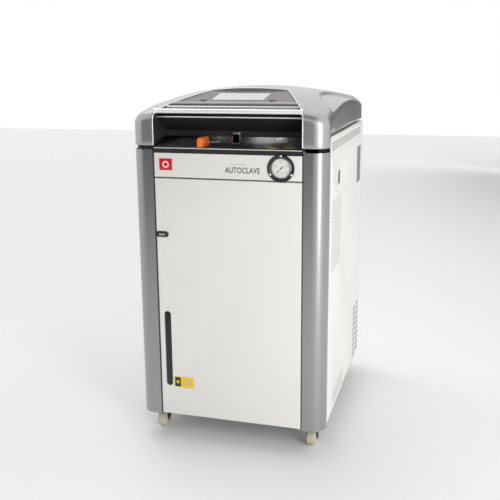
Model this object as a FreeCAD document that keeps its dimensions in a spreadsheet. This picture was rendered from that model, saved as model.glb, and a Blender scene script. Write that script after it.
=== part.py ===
import FreeCAD, Part
import math
import os

import Sketcher

# Top-loading autoclave on casters.
# Frame: origin on the floor under the middle of the cabinet, +X to the right seen from the
# front, +Y to the back, +Z up.  The front of the cabinet faces -Y.

doc = FreeCAD.newDocument("autoclave")
V = FreeCAD.Vector

# ---------------------------------------------------------------- driving dimensions (mm)

DIMENSIONS = [
    # cabinet
    ("cabinet_width", 530),
    ("cabinet_depth", 650),
    ("corner_radius", 38),
    ("column_width", 61),
    ("column_wall", 2.5),
    ("panel_wall", 1.5),
    ("panel_flange", 14),
    ("fit_gap", 0.4),
    ("caster_head", 16),
    ("base_wall", 3),
    ("base_rim", 26),
    ("column_lift", 2),
    ("column_top", 824),
    ("side_lift", 9),
    ("side_top", 860),
    ("deck_top", 831),
    ("deck_wall", 2),
    ("door_lift", 6),
    ("door_top", 748),
    ("door_gap", 4),
    ("door_depth", 18),
    ("panel_bottom", 752),
    ("panel_top", 816),
    ("seal_height", 10.5),
    ("post_size", 25),
    ("shelf_height", 392),
    ("shelf_wall", 2),
    # lid
    ("lid_top", 981),
    ("lid_front_bottom", 835),
    ("lid_side_bottom", 869),
    ("lid_wall", 2.5),
    ("lid_shoulder", 24),
    ("crown_side_drop", 33.5),
    ("crown_end_drop", 32),
    ("crown_centre", 33),
    ("window_width", 400),
    ("window_top", 932),
    ("window_radius", 20),
    ("recess_width", 350),
    ("recess_rear_width", 220),
    ("recess_setback", 60),
    ("recess_rear", 95),
    ("recess_front_height", 937),
    ("recess_rise", 29.5),
    ("bar_radius", 6),
    ("bar_height", 925),
    ("bar_setback", 10),
    ("hinge_offset", 8),
    ("hinge_height", 864),
    ("hinge_radius", 5),
    ("hinge_barrel", 7.5),
    ("hinge_span", 300),
    ("running_fit", 0.05),
    # chamber
    ("chamber_radius", 185),
    ("chamber_wall", 3),
    ("chamber_centre", 25),
    ("chamber_depth", 430),
    ("chamber_dish", 24),
    ("flange_width", 30),
    ("flange_height", 16),
    ("flange_top", 848),
    ("gasket_height", 7),
    ("gasket_width", 12),
    ("screen_gap", 7),
    ("screen_wall", 2),
    ("screen_height", 40),
    ("insulation_wall", 24),
    ("heater_gap", 75),
    ("heater_tube", 5),
    # front lock
    ("lever_width", 14),
    ("lever_depth", 62),
    ("lever_height", 30),
    ("lever_place", 73),
    ("lock_travel", 50),
    # front panel fittings
    ("gauge_place", 146),
    ("gauge_height", 784),
    ("gauge_flange_radius", 35.5),
    ("gauge_dial_radius", 28),
    ("gauge_case_radius", 26),
    ("gauge_case_depth", 34),
    ("window_slot_place", 176),
    ("window_slot_width", 18),
    ("window_slot_low", 158),
    ("window_slot_high", 377),
    ("latch_place", 183),
    ("latch_height", 596),
    ("latch_width", 34),
    ("latch_thick", 15),
    ("latch_travel", 3),
    # casters
    ("wheel_radius", 25),
    ("wheel_width", 24),
    ("wheel_bore", 4),
    ("caster_offset", 18),
    ("caster_side", 222),
    ("caster_front", 244),
    ("caster_rear", 250),
    ("stem_radius", 7),
    # services
    ("breaker_place", 144),
    ("breaker_height", 740),
    ("fan_place", 247),
    ("fan_height", 726),
    ("fan_size", 80),
    ("fan_depth", 25),
    ("spout_radius", 8),
    ("spout_length", 24),
    ("gland_radius", 6.5),
    ("pipe_radius", 5),
    ("bottle_width", 104),
    ("bottle_depth", 150),
    ("bottle_height", 250),
]

sheet = doc.addObject("Spreadsheet::Sheet", "dims")
for row, (alias, number) in enumerate(DIMENSIONS, start=1):
    sheet.set(f"A{row}", alias)
    sheet.set(f"B{row}", str(number))
    sheet.setAlias(f"B{row}", alias)
doc.recompute()


class Size:
    """A length worked out from the sheet: its formula and its present number."""

    def __init__(self, formula, number):
        self.formula = formula
        self.number = float(number)

    def __add__(self, other):
        other = size(other)
        return Size(f"({self.formula} + {other.formula})", self.number + other.number)

    def __sub__(self, other):
        other = size(other)
        return Size(f"({self.formula} - {other.formula})", self.number - other.number)

    def __mul__(self, other):
        other = size(other)
        return Size(f"({self.formula} * {other.formula})", self.number * other.number)

    def __truediv__(self, other):
        other = size(other)
        return Size(f"({self.formula} / {other.formula})", self.number / other.number)

    def __radd__(self, other):
        return size(other) + self

    def __rsub__(self, other):
        return size(other) - self

    def __rmul__(self, other):
        return size(other) * self

    def __neg__(self):
        return Size(f"(0 - {self.formula})", -self.number)

    def __float__(self):
        return self.number


def size(value):
    """A plain number or a Size, as a Size."""
    if isinstance(value, Size):
        return value
    return Size(f"({float(value):.6g})", value)


class Dimensions:
    """The sheet's named cells, each read as a Size."""

    def __getattr__(self, alias):
        return Size(f"dims.{alias}", getattr(sheet, alias))


d = Dimensions()
node_labels = []

# What follows from the sheet: the tray stands on the casters, the columns, panels and door
# start above the tray, and the recess and the chamber's flange keep to their neighbours.
base_height = d.wheel_radius * 2 + d.caster_head
column_bottom = base_height + d.column_lift
side_bottom = base_height + d.side_lift
door_bottom = base_height + d.door_lift
recess_front = d.cabinet_depth / 2 - d.recess_setback
flange_radius = d.chamber_radius + d.chamber_wall + d.flange_width
screen_radius = d.chamber_radius - d.screen_gap
heater_radius = d.chamber_radius - d.heater_gap

# ---------------------------------------------------------------- document helpers


def bind(thing, prop, value):
    """Tie a property to the sheet."""
    thing.setExpression(prop, size(value).formula)


def place(thing, x=0, y=0, z=0, axis=None, angle=0):
    """Set where an object stands; the three coordinates follow the sheet."""
    if axis is not None:
        thing.Placement = FreeCAD.Placement(V(0, 0, 0), FreeCAD.Rotation(V(*axis), angle))
    bind(thing, "Placement.Base.x", x)
    bind(thing, "Placement.Base.y", y)
    bind(thing, "Placement.Base.z", z)


def part(kind, label):
    thing = doc.addObject(kind, label)
    thing.Label = label
    return thing


def node(thing, label):
    """Name a finished sub-part, to be written as its own file."""
    thing.Label = label
    node_labels.append((label, thing.Name))
    return thing


def box(label, low, high):
    """A block between two corners."""
    thing = part("Part::Box", label)
    for prop, a, b in zip(("Length", "Width", "Height"), low, high):
        bind(thing, prop, size(b) - a)
    place(thing, *low)
    return thing


AXES = {"x": ((0, 1, 0), 90), "y": ((1, 0, 0), -90), "z": ((0, 0, 1), 0)}


def cylinder(label, along, start, radius, length):
    """A cylinder from its start point towards +along."""
    thing = part("Part::Cylinder", label)
    bind(thing, "Radius", radius)
    bind(thing, "Height", length)
    axis, angle = AXES[along]
    place(thing, *start, axis=axis, angle=angle)
    return thing


def cone(label, along, start, radius, end_radius, length):
    thing = part("Part::Cone", label)
    bind(thing, "Radius1", radius)
    bind(thing, "Radius2", end_radius)
    bind(thing, "Height", length)
    axis, angle = AXES[along]
    place(thing, *start, axis=axis, angle=angle)
    return thing


def torus(label, along, centre, radius, tube):
    thing = part("Part::Torus", label)
    bind(thing, "Radius1", radius)
    bind(thing, "Radius2", tube)
    axis, angle = AXES[along]
    place(thing, *centre, axis=axis, angle=angle)
    return thing


def fuse(label, pieces):
    thing = part("Part::MultiFuse", label)
    thing.Shapes = pieces
    return thing


def group(label, pieces):
    """Separate solids kept side by side in one sub-part."""
    thing = part("Part::Compound", label)
    thing.Links = pieces
    return thing


def cut(label, base, tools):
    tool = tools[0] if len(tools) == 1 else fuse(label + "_tools", tools)
    thing = part("Part::Cut", label)
    thing.Base = base
    thing.Tool = tool
    return thing


def common(label, base, tool):
    thing = part("Part::Common", label)
    thing.Base = base
    thing.Tool = tool
    return thing


def ring(label, along, start, outer, inner, length):
    """A tube or washer."""
    body = cylinder(label + "_outer", along, start, outer, length)
    bore = cylinder(label + "_bore", along, start, inner, length)
    return cut(label, body, [bore])


def round_edges(label, base, radius, wanted):
    """Fillet the edges that a rule picks."""
    doc.recompute()
    thing = part("Part::Fillet", label)
    thing.Base = base
    picked = [i for i, edge in enumerate(base.Shape.Edges, start=1) if wanted(edge)]
    if not picked:
        raise RuntimeError(f"{label}: no edge to round")
    thing.Edges = [(i, float(radius), float(radius)) for i in picked]
    return thing


def along_axis(edge, axis):
    """True for a straight edge that runs along the X, Y or Z axis."""
    if edge.Curve.TypeId != "Part::GeomLine":
        return False
    ends = edge.Vertexes[-1].Point - edge.Vertexes[0].Point
    return abs(getattr(ends.normalize(), axis)) > 0.999

# ---------------------------------------------------------------- part design helpers


PLANES = {"xy": "XY_Plane", "xz": "XZ_Plane", "yz": "YZ_Plane"}


def new_body(label):
    thing = doc.addObject("PartDesign::Body", label)
    thing.Label = label
    return thing


def new_sketch(body, plane, height=0):
    """A sketch on one of the body's own origin planes, moved to a height along its axis."""
    sketch = body.newObject("Sketcher::SketchObject", body.Name + "_sketch")
    role = PLANES[plane]
    support = [f for f in body.Origin.OriginFeatures if f.Role == role][0]
    sketch.AttachmentSupport = [(support, "")]
    sketch.MapMode = "FlatFace"
    towards = -size(height) if plane == "xz" else size(height)
    bind(sketch, "AttachmentOffset.Base.z", towards)
    return sketch


def pin_point(sketch, geometry, end, point):
    """Hold a vertex at its two coordinates."""
    for kind, value in zip(("DistanceX", "DistanceY"), point):
        value = size(value)
        number = sketch.addConstraint(Sketcher.Constraint(kind, -1, 1, geometry, end, value.number))
        sketch.setExpression(f"Constraints[{number}]", value.formula)


def circle(sketch, x, y, radius):
    radius = size(radius)
    centre = V(float(size(x)), float(size(y)), 0)
    geometry = sketch.addGeometry(Part.Circle(centre, V(0, 0, 1), radius.number), False)
    pin_point(sketch, geometry, 3, (x, y))
    number = sketch.addConstraint(Sketcher.Constraint("Radius", geometry, radius.number))
    sketch.setExpression(f"Constraints[{number}]", radius.formula)


def outline(sketch, corners):
    """A closed outline; a corner is (x, y) or, where two square sides meet, (x, y, radius)."""
    corners = [tuple(size(v) for v in corner) for corner in corners]
    points = [V(float(c[0]), float(c[1]), 0) for c in corners]
    stops = []
    for i, corner in enumerate(corners):
        if len(corner) == 2:
            stops.append([(corner[0], corner[1])])
            continue
        into = (points[i] - points[i - 1]).normalize()
        away = (points[(i + 1) % len(points)] - points[i]).normalize()
        x, y, radius = corner
        start = (x - radius * round(into.x), y - radius * round(into.y))
        end = (x + radius * round(away.x), y + radius * round(away.y))
        stops.append([start, end, radius, into, away])
    at = [[V(float(p[0]), float(p[1]), 0) for p in stop[:2]] for stop in stops]
    pieces = []
    for i, stop in enumerate(stops):
        if len(stop) > 1:
            start, end = at[i]
            turn = stop[3].cross(stop[4]).z
            centre = start + stop[4] * float(stop[2])
            pieces.append(("arc", start, end, centre, stop[2], turn, stop[0]))
        leave = at[i][-1]
        meet = at[(i + 1) % len(stops)][0]
        if (meet - leave).Length > 1e-6:
            begins = stop[1] if len(stop) > 1 else stop[0]
            pieces.append(("line", leave, meet, None, None, 1, begins))
    ends = []
    for kind, start, end, centre, radius, turn, _ in pieces:
        if kind == "line":
            ends.append((sketch.addGeometry(Part.LineSegment(start, end), False), 1, 2))
            continue
        a, b = (start, end) if turn > 0 else (end, start)
        angles = [math.atan2(p.y - centre.y, p.x - centre.x) for p in (a, b)]
        round_part = Part.Circle(centre, V(0, 0, 1), radius.number)
        geometry = sketch.addGeometry(Part.ArcOfCircle(round_part, *angles), False)
        ends.append((geometry, 1, 2) if turn > 0 else (geometry, 2, 1))
        number = sketch.addConstraint(Sketcher.Constraint("Radius", geometry, radius.number))
        sketch.setExpression(f"Constraints[{number}]", radius.formula)
    for i, (geometry, first, last) in enumerate(ends):
        following = ends[(i + 1) % len(ends)]
        sketch.addConstraint(Sketcher.Constraint("Coincident", geometry, last, following[0], following[1]))
        pin_point(sketch, geometry, first, pieces[i][6])


def pad(body, sketch, length, backwards=False):
    feature = body.newObject("PartDesign::Pad", body.Name + "_pad")
    feature.Profile = sketch
    feature.Reversed = backwards
    bind(feature, "Length", length)
    body.Tip = feature
    return feature


def pocket(body, sketch, length, backwards=False):
    """A pocket that must remove material: the volume is compared before and after."""
    doc.recompute()
    before = body.Shape.Volume
    feature = body.newObject("PartDesign::Pocket", body.Name + "_pocket")
    feature.Profile = sketch
    feature.Reversed = backwards
    bind(feature, "Length", length)
    body.Tip = feature
    doc.recompute()
    if body.Shape.Volume > before - 1e-3:
        raise RuntimeError(f"{body.Label}: a pocket removed nothing")
    return feature


def prism(label, plane, low, high, corners):
    """A body padded from an outline, between two heights along the plane's axis."""
    body = new_body(label)
    sketch = new_sketch(body, plane, high if plane == "xz" else low)
    outline(sketch, corners)
    pad(body, sketch, size(high) - low)
    return body


def revolve(label, plane, centre, corners):
    """A body turned from an outline (radius, height) about a vertical or level axis."""
    body = new_body(label)
    sketch = new_sketch(body, plane)
    outline(sketch, corners)
    feature = body.newObject("PartDesign::Revolution", label + "_turned")
    feature.Profile = sketch
    feature.ReferenceAxis = (sketch, ["V_Axis"])
    feature.Angle = 360
    body.Tip = feature
    place(body, *centre)
    return body

# ---------------------------------------------------------------- shared places


half_width = d.cabinet_width / 2
half_depth = d.cabinet_depth / 2
opening_half = half_width - d.column_width
inner_x = half_width - d.panel_wall
door_half = opening_half - d.door_gap
seam_y = -half_depth + d.corner_radius + 4
door_back = -half_depth + d.door_depth
frame_front = door_back + 2
deck_low = d.deck_top - d.deck_wall
chamber_outer = d.chamber_radius + d.chamber_wall
chamber_floor = d.flange_top - d.chamber_depth
hinge_y = half_depth + d.hinge_offset
valve_x = chamber_outer + 43
valve_y = d.chamber_centre + 4
bottle_left = -opening_half + 14
bottle_front = seam_y + 12
bottle_low = base_height + d.base_wall
neck_x = bottle_left + d.bottle_width / 2
neck_y = bottle_front + 108

# ---------------------------------------------------------------- cabinet


def base_frame():
    """A folded steel tray that carries the casters, the posts and the panels."""
    x = inner_x - d.fit_gap
    front = seam_y + 1
    back = half_depth - d.panel_wall - d.fit_gap
    low = base_height
    shell = box("base_block", (-x, front, low), (x, back, low + d.base_rim))
    wall = d.base_wall
    hollow = box("base_hollow", (wall - x, front + wall, low + wall), (x - wall, back - wall, low + 60))
    return node(cut("base_frame", shell, [hollow]), "base_frame")


def front_column(name, side):
    """A round-nosed corner extrusion with an inner return."""
    wall = d.column_wall
    r = d.corner_radius
    x0 = opening_half * side
    x1 = half_width * side
    front = -half_depth
    inner = (half_width - wall) * side
    step = wall * side
    corners = [
        (x0, front),
        (x1, front, r),
        (x1, seam_y),
        (inner, seam_y),
        (inner, front + wall, r - wall),
        (x0 + step, front + wall),
        (x0 + step, seam_y),
        (x0, seam_y),
    ]
    if side < 0:
        corners = corners[::-1]
    body = prism(name, "xy", column_bottom, d.column_top, corners)
    return node(body, name)


def side_panel(name, side):
    """A flat panel folded inwards along its front and rear edges, with pressed vents."""
    x1 = half_width * side
    x0 = inner_x * side
    front = seam_y + d.fit_gap
    back = half_depth
    wall = d.panel_wall
    flange = (inner_x - d.panel_flange) * side
    corners = [
        (x1, front),
        (x1, back),
        (flange, back),
        (flange, back - wall),
        (x0, back - wall),
        (x0, front),
    ]
    if side < 0:
        corners = corners[::-1]
    body = prism(name, "xy", side_bottom, d.side_top, corners)
    vents(body, side, -96, 5, 1)
    vents(body, side, 250, 10, -1)
    if side > 0:
        sketch = new_sketch(body, "yz", half_width + 1)
        y = -d.breaker_place
        z = d.breaker_height
        outline(sketch, [(y - 18, z - 22), (y + 18, z - 22), (y + 18, z + 22), (y - 18, z + 22)])
        pocket(body, sketch, 4)
        sketch = new_sketch(body, "yz", half_width + 1)
        circle(sketch, d.fan_place, d.fan_height, d.fan_size / 2 - 4)
        pocket(body, sketch, 4)
    return node(body, name)


def vents(body, side, middle, count, upright):
    """A row of slots: upright slots low at the front, level ones behind."""
    sketch = new_sketch(body, "yz", half_width * side + 1 * side)
    for i in range(count):
        if upright > 0:
            y = size(middle) + (i - (count - 1) / 2) * 34
            low, high = (y - 4, side_bottom + 10), (y + 4, side_bottom + 58)
            corners = [low, (high[0], low[1]), high, (low[0], high[1])]
            outline(sketch, corners)
            continue
        z = size(84) + i * 18
        for y in (size(middle) - 32, size(middle) + 32):
            outline(sketch, [(y - 26, z), (y + 26, z), (y + 26, z + 5), (y - 26, z + 5)])
    pocket(body, sketch, 4, backwards=side < 0)


def back_panel():
    """The rear sheet, stopped below the deck so that the lid hinge clears it."""
    x = inner_x - d.panel_flange - d.fit_gap
    plate = box("back_sheet", (-x, half_depth - d.panel_wall, side_bottom), (x, half_depth, d.side_top))
    holes = []
    start = half_depth - 10
    holes.append(cylinder("gland_hole", "y", (-180, start, 150), d.gland_radius + 4 + d.fit_gap, 20))
    holes.append(cylinder("drain_hole", "y", (150, start, 110), d.spout_radius + d.fit_gap, 20))
    for i in range(8):
        z = 300 + i * 20
        holes.append(box(f"rear_vent_{i}", (-90, start, z), (90, half_depth + 5, z + 6)))
    return node(cut("back_panel", plate, holes), "back_panel")


def corner_posts():
    """Four square tubes from the tray to the deck."""
    wall = 2
    s = d.post_size
    posts = []
    low = base_height + d.base_wall
    for i, (sx, y) in enumerate(((-1, -1), (1, -1), (-1, 1), (1, 1))):
        edge = inner_x - 8
        x0 = edge * sx - (s if sx > 0 else 0)
        y0 = seam_y + 20 if y < 0 else half_depth - 10 - s
        outer = box(f"post_{i}_outer", (x0, y0, low), (x0 + s, y0 + s, deck_low))
        bore = box(f"post_{i}_bore", (x0 + wall, y0 + wall, low), (x0 + s - wall, y0 + s - wall, deck_low))
        posts.append(cut(f"post_{i}", outer, [bore]))
    return posts


def inner_frame():
    """The welded posts and the shelf that divides the bottle space from the chamber."""
    x = inner_x - d.fit_gap
    z = d.shelf_height
    plate = box("shelf_sheet", (-x, seam_y + 4, z), (x, half_depth - 4, z + d.shelf_wall))
    hole = cylinder("shelf_hole", "z", (0, d.chamber_centre, z - 5), 60, 20)
    pipe_hole = cylinder("shelf_pipe_hole", "z", (valve_x, valve_y, z - 5), d.pipe_radius + 3, 20)
    shelf = cut("shelf_plate", plate, [hole, pipe_hole])
    return node(fuse("inner_frame", corner_posts() + [shelf]), "inner_frame")


def deck_plate():
    """The top deck, open over the chamber, with a turned-down front edge."""
    x = inner_x - d.fit_gap
    top = d.deck_top
    front = -half_depth
    outer = opening_half
    plate = box("deck_sheet", (-x, seam_y + 1, deck_low), (x, half_depth - d.panel_wall - 1, top))
    tongue = box("deck_tongue", (-outer, front + 0.5, deck_low), (outer, seam_y + 1, top))
    lip = box("deck_lip", (-outer, front + 0.5, deck_low - 2), (outer, front + 2, deck_low))
    mouth = cylinder("deck_mouth", "z", (0, d.chamber_centre, 800), chamber_outer + d.fit_gap, 60)
    slot_x = d.lever_place
    slot = box(
        "deck_slot",
        (-slot_x - 12, front + 24, 800),
        (-slot_x + 12 + d.lock_travel, front + 36, 860),
    )
    return node(cut("deck_plate", fuse("deck_solid", [plate, tongue, lip]), [mouth, slot]), "deck_plate")


def deck_seal():
    """The dark rubber strip between the deck's front edge and the panel under it."""
    front = -half_depth
    low = (-door_half, front + 1, d.panel_top)
    return node(box("deck_seal", low, (door_half, front + 9, d.panel_top + d.seal_height)), "deck_seal")


def door_frame():
    """The inner frame that the door closes on."""
    x = opening_half - d.fit_gap
    low = column_bottom + 2
    high = d.panel_bottom - 3
    front = frame_front
    plate = box("frame_sheet", (-x, front, low), (x, front + 2, high))
    opening = box("frame_opening", (22 - x, front - 5, low + 26), (x - 22, front + 9, high - 20))
    return node(fuse("door_frame", [cut("frame_portal", plate, [opening])] + edge_strips()), "door_frame")


def edge_strips():
    """The pale strips that close the gap beside the door and the panel above it."""
    strips = []
    for side in (-1, 1):
        a = (opening_half - d.fit_gap) * side
        b = (door_half + 1) * side
        low, high = (b, a) if side > 0 else (a, b)
        z = d.panel_top + d.seal_height
        start = (low, -half_depth + 12, column_bottom)
        strips.append(box(f"strip_{side}", start, (high, frame_front + 1, z)))
    return strips


def upper_front_panel():
    """The fixed panel above the door, folded back along its top and bottom edges."""
    wall = d.panel_wall
    x = door_half
    front = -half_depth
    deep = front + 16
    z0, z1 = d.panel_bottom, d.panel_top
    shell = box("upper_block", (-x, front, z0), (x, deep, z1))
    hollow = box("upper_hollow", (wall - x, front + wall, z0 + wall), (x - wall, deep + 1, z1 - wall))
    case = d.gauge_case_radius + d.fit_gap
    hole = cylinder("upper_hole", "y", (d.gauge_place, front - 5, d.gauge_height), case, 30)
    return node(cut("upper_front_panel", shell, [hollow, hole]), "upper_front_panel")


for build in (base_frame, back_panel, inner_frame, deck_plate, deck_seal, door_frame):
    build()
upper_front_panel()
for word, side in (("left", -1), ("right", 1)):
    front_column(f"{word}_front_column", side)
    side_panel(f"{word}_side_panel", side)

# ---------------------------------------------------------------- chamber

middle = (0, d.chamber_centre, 0)


def chamber_vessel():
    """The stainless pressure vessel: tube, dished bottom, mouth flange and foot ring."""
    r, wall = d.chamber_radius, d.chamber_wall
    outer = chamber_outer
    low = chamber_floor
    dish = d.chamber_dish
    hub = 70
    body = revolve(
        "vessel_wall",
        "xz",
        middle,
        [
            (0, low - dish),
            (hub, low - dish),
            (outer, low + dish),
            (outer, d.flange_top),
            (r, d.flange_top),
            (r, low + dish + 1),
            (hub, low - dish + wall),
            (0, low - dish + wall),
        ],
    )
    start = (0, d.chamber_centre, d.deck_top)
    height = d.flange_top - d.deck_top
    flange = ring("mouth_flange", "z", start, flange_radius, chamber_outer - 1, height)
    return node(fuse("chamber_vessel", [body, flange, vessel_skirt()]), "chamber_vessel")


def chamber_insulation():
    low = chamber_floor + d.chamber_dish + 21
    inner = chamber_outer + d.fit_gap
    start = (0, d.chamber_centre, low)
    jacket = ring("chamber_insulation", "z", start, inner + d.insulation_wall, inner, deck_low - 2 - low)
    y = d.chamber_centre
    port = box("insulation_port", (inner - 8, y - 16, 770), (inner + 60, y + 16, 810))
    return node(cut("insulation_cut", jacket, [port]), "chamber_insulation")


def vessel_skirt():
    """The ring that stands on the shelf and holds the vessel by its lower edge."""
    low = d.shelf_height + d.shelf_wall
    r = chamber_outer
    start = (0, d.chamber_centre, low)
    top = chamber_floor + d.chamber_dish + 20
    return ring("vessel_skirt", "z", start, r + 3, r - 1, top - low)


def heater_element():
    """The immersion ring with its two terminal legs, held clear of the floor."""
    tube = d.heater_tube
    z = chamber_floor + 14
    loop = torus("heater_loop", "z", (0, d.chamber_centre, z), heater_radius, tube)
    legs = []
    for x in (-30, 30):
        y = d.chamber_centre - heater_radius + 4.2
        foot = chamber_floor - d.chamber_dish + 22
        legs.append(cylinder(f"heater_leg_{x}", "z", (x, y, foot), tube, z - foot))
    return node(fuse("heater_element", [loop] + legs), "heater_element")


def floor_screen():
    """The perforated plate that keeps a load above the water; it stands on three feet."""
    z = chamber_floor + d.screen_height
    plate = cylinder("screen_plate", "z", (0, d.chamber_centre, z), screen_radius, d.screen_wall)
    holes = []
    for count, radius in ((1, 0), (6, 45), (12, 90), (18, 135)):
        for i in range(count):
            turn = 2 * math.pi * i / count
            x = radius * math.cos(turn)
            y = d.chamber_centre + radius * math.sin(turn)
            holes.append(cylinder(f"screen_hole_{radius}_{i}", "z", (x, y, z - 5), 7, 12))
    return node(fuse("floor_screen", [cut("screen_sheet", plate, holes)] + screen_feet()), "floor_screen")


def screen_feet():
    feet = []
    for i in range(3):
        turn = 2 * math.pi * i / 3 + 0.5
        x = (screen_radius - 14) * math.cos(turn)
        y = d.chamber_centre + (screen_radius - 14) * math.sin(turn)
        low = chamber_floor + d.chamber_dish + 4
        height = chamber_floor + d.screen_height + 1 - low
        feet.append(cylinder(f"screen_foot_{i}", "z", (x, y, low), 5, height))
    return feet

# ---------------------------------------------------------------- pipes and valves


def ball(label, centre, radius):
    thing = part("Part::Sphere", label)
    bind(thing, "Radius", radius)
    place(thing, *centre)
    return thing


def pipe(label, points, radius):
    """Straight level or upright runs with a ball elbow at each bend."""
    pieces = []
    for i, (a, b) in enumerate(zip(points, points[1:])):
        a, b = [[size(v) for v in point] for point in (a, b)]
        along = max(range(3), key=lambda k: abs(float(b[k]) - float(a[k])))
        start, end = (a, b) if float(b[along]) > float(a[along]) else (b, a)
        length = end[along] - start[along]
        pieces.append(cylinder(f"{label}_run_{i}", "xyz"[along], start, radius, length))
        if i:
            pieces.append(ball(f"{label}_elbow_{i}", a, size(radius) + 1.5))
    return fuse(label, pieces)


def drain_pipe():
    """From the vessel's lowest point to the valve, and on to the spout behind the cabinet."""
    y = d.chamber_centre
    top = chamber_floor - d.chamber_dish
    inlet = pipe("drain_inlet", [(0, y, top), (0, y, 262), (112, y, 262), (112, y, 152)], 8)
    r = d.spout_radius
    spout = half_depth + d.spout_length
    bends = [(112, y + 20, 132), (112, y + 60, 132), (112, y + 60, 110), (150, y + 60, 110), (150, spout, 110)]
    bore = cylinder("spout_bore", "y", (150, half_depth - 60, 110), r - 2.5, 120)
    tip = cylinder("spout_tip", "y", (150, half_depth, 110), r + 1, d.spout_length)
    outlet = cut("drain_outlet", fuse("outlet_solid", [pipe("outlet_run", bends, r), tip]), [bore])
    return node(group("drain_pipe", [inlet, outlet]), "drain_pipe")


def drain_valve_body():
    y = d.chamber_centre
    block = box("valve_block", (92, y - 20, 112), (132, y + 20, 152))
    bonnet = cylinder("valve_bonnet", "y", (112, y - 34, 132), 11, 14)
    stem_bore = cylinder("valve_stem_bore", "y", (112, y - 36, 132), 4 + d.running_fit, 20)
    return node(cut("drain_valve_body", fuse("valve_solid", [block, bonnet]), [stem_bore]), "drain_valve_body")


def drain_valve_handle():
    """The quarter-turn lever on the drain valve's stem."""
    y = d.chamber_centre
    stem = cylinder("handle_stem", "y", (112, y - 48, 132), 4, 28)
    bar = box("handle_bar", (103, y - 46, 123), (121, y - 38, 205))
    shaped = round_edges("handle_round", bar, 5, lambda edge: along_axis(edge, "y"))
    return node(fuse("drain_valve_handle", [stem, shaped]), "drain_valve_handle")


def exhaust_manifold():
    """The steam block on the vessel's right side, for the safety and exhaust valves."""
    x = chamber_outer
    y = d.chamber_centre
    neck = cylinder("manifold_neck", "x", (x, y, 790), 9, 32)
    block = box("manifold_block", (x + 30, y - 22, 776), (x + 56, y + 22, 804))
    seat = cylinder("manifold_seat", "x", (x - 20, y, 790), 60, 20)
    wall = cylinder("manifold_wall", "z", (0, y, 700), chamber_outer, 120)
    solid = fuse("manifold_solid", [neck, block])
    return node(cut("exhaust_manifold", solid, [common("manifold_clear", seat, wall)]), "exhaust_manifold")


def safety_valve():
    x = chamber_outer + 43
    y = d.chamber_centre - 12
    base = cylinder("safety_base", "z", (x, y, 804), 7, 4)
    dome = cone("safety_dome", "z", (x, y, 808), 7, 4, 16)
    return node(fuse("safety_valve", [base, dome]), "safety_valve")


def exhaust_valve():
    """The solenoid valve under the steam block."""
    x, y = valve_x, valve_y
    coil = box("solenoid_coil", (x - 12, y - 18, 730), (x + 12, y + 18, 766))
    neck = cylinder("solenoid_neck", "z", (x, y, 766), 6, 10)
    return node(fuse("exhaust_valve", [coil, neck]), "exhaust_valve")


def exhaust_pipe():
    """Copper pipe from the solenoid valve down the side and across into the bottle."""
    run = bottle_low + d.bottle_height + 36
    bends = [(valve_x, valve_y, 730), (valve_x, valve_y, run), (valve_x, neck_y, run), (neck_x, neck_y, run)]
    bends.append((neck_x, neck_y, run - 42))
    return node(pipe("exhaust_pipe", bends, d.pipe_radius), "exhaust_pipe")


def exhaust_bottle():
    """The plastic water bottle behind the door, seen through the level slot."""
    x, y, z = bottle_left, bottle_front, bottle_low
    high = z + d.bottle_height
    block = box("bottle_block", (x, y, z), (x + d.bottle_width, y + d.bottle_depth, high))
    shaped = round_edges("bottle_round", block, 12, lambda edge: along_axis(edge, "z"))
    wall = 2
    low = (x + wall, y + wall, z + wall)
    inner = box("bottle_hollow", low, (x + d.bottle_width - wall, y + d.bottle_depth - wall, high - wall))
    hollow = round_edges("bottle_hollow_round", inner, 10, lambda edge: along_axis(edge, "z"))
    neck = cylinder("bottle_neck", "z", (neck_x, neck_y, high - 1), 19, 17)
    bore = cylinder("bottle_bore", "z", (neck_x, neck_y, high - 5), 16, 30)
    solid = cut("bottle_shell", fuse("bottle_solid", [shaped, neck]), [hollow, bore])
    return node(solid, "exhaust_bottle")


def bottle_cap():
    """The screw cap, bored for the exhaust pipe."""
    z = bottle_low + d.bottle_height
    outer = cylinder("cap_outer", "z", (neck_x, neck_y, z + 2), 23, 17)
    inner = cylinder("cap_inner", "z", (neck_x, neck_y, z - 5), 19 + d.fit_gap, 21.4)
    bore = cylinder("cap_bore", "z", (neck_x, neck_y, z), d.pipe_radius + 1, 30)
    return node(cut("bottle_cap", outer, [inner, bore]), "bottle_cap")


for build in (
    chamber_vessel, chamber_insulation, heater_element, floor_screen, drain_pipe, drain_valve_body,
    drain_valve_handle, exhaust_manifold, safety_valve, exhaust_valve, exhaust_pipe, exhaust_bottle,
    bottle_cap,
):
    build()

# ---------------------------------------------------------------- front door

door_axis = (door_half - 3, -half_depth + 4)


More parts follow.
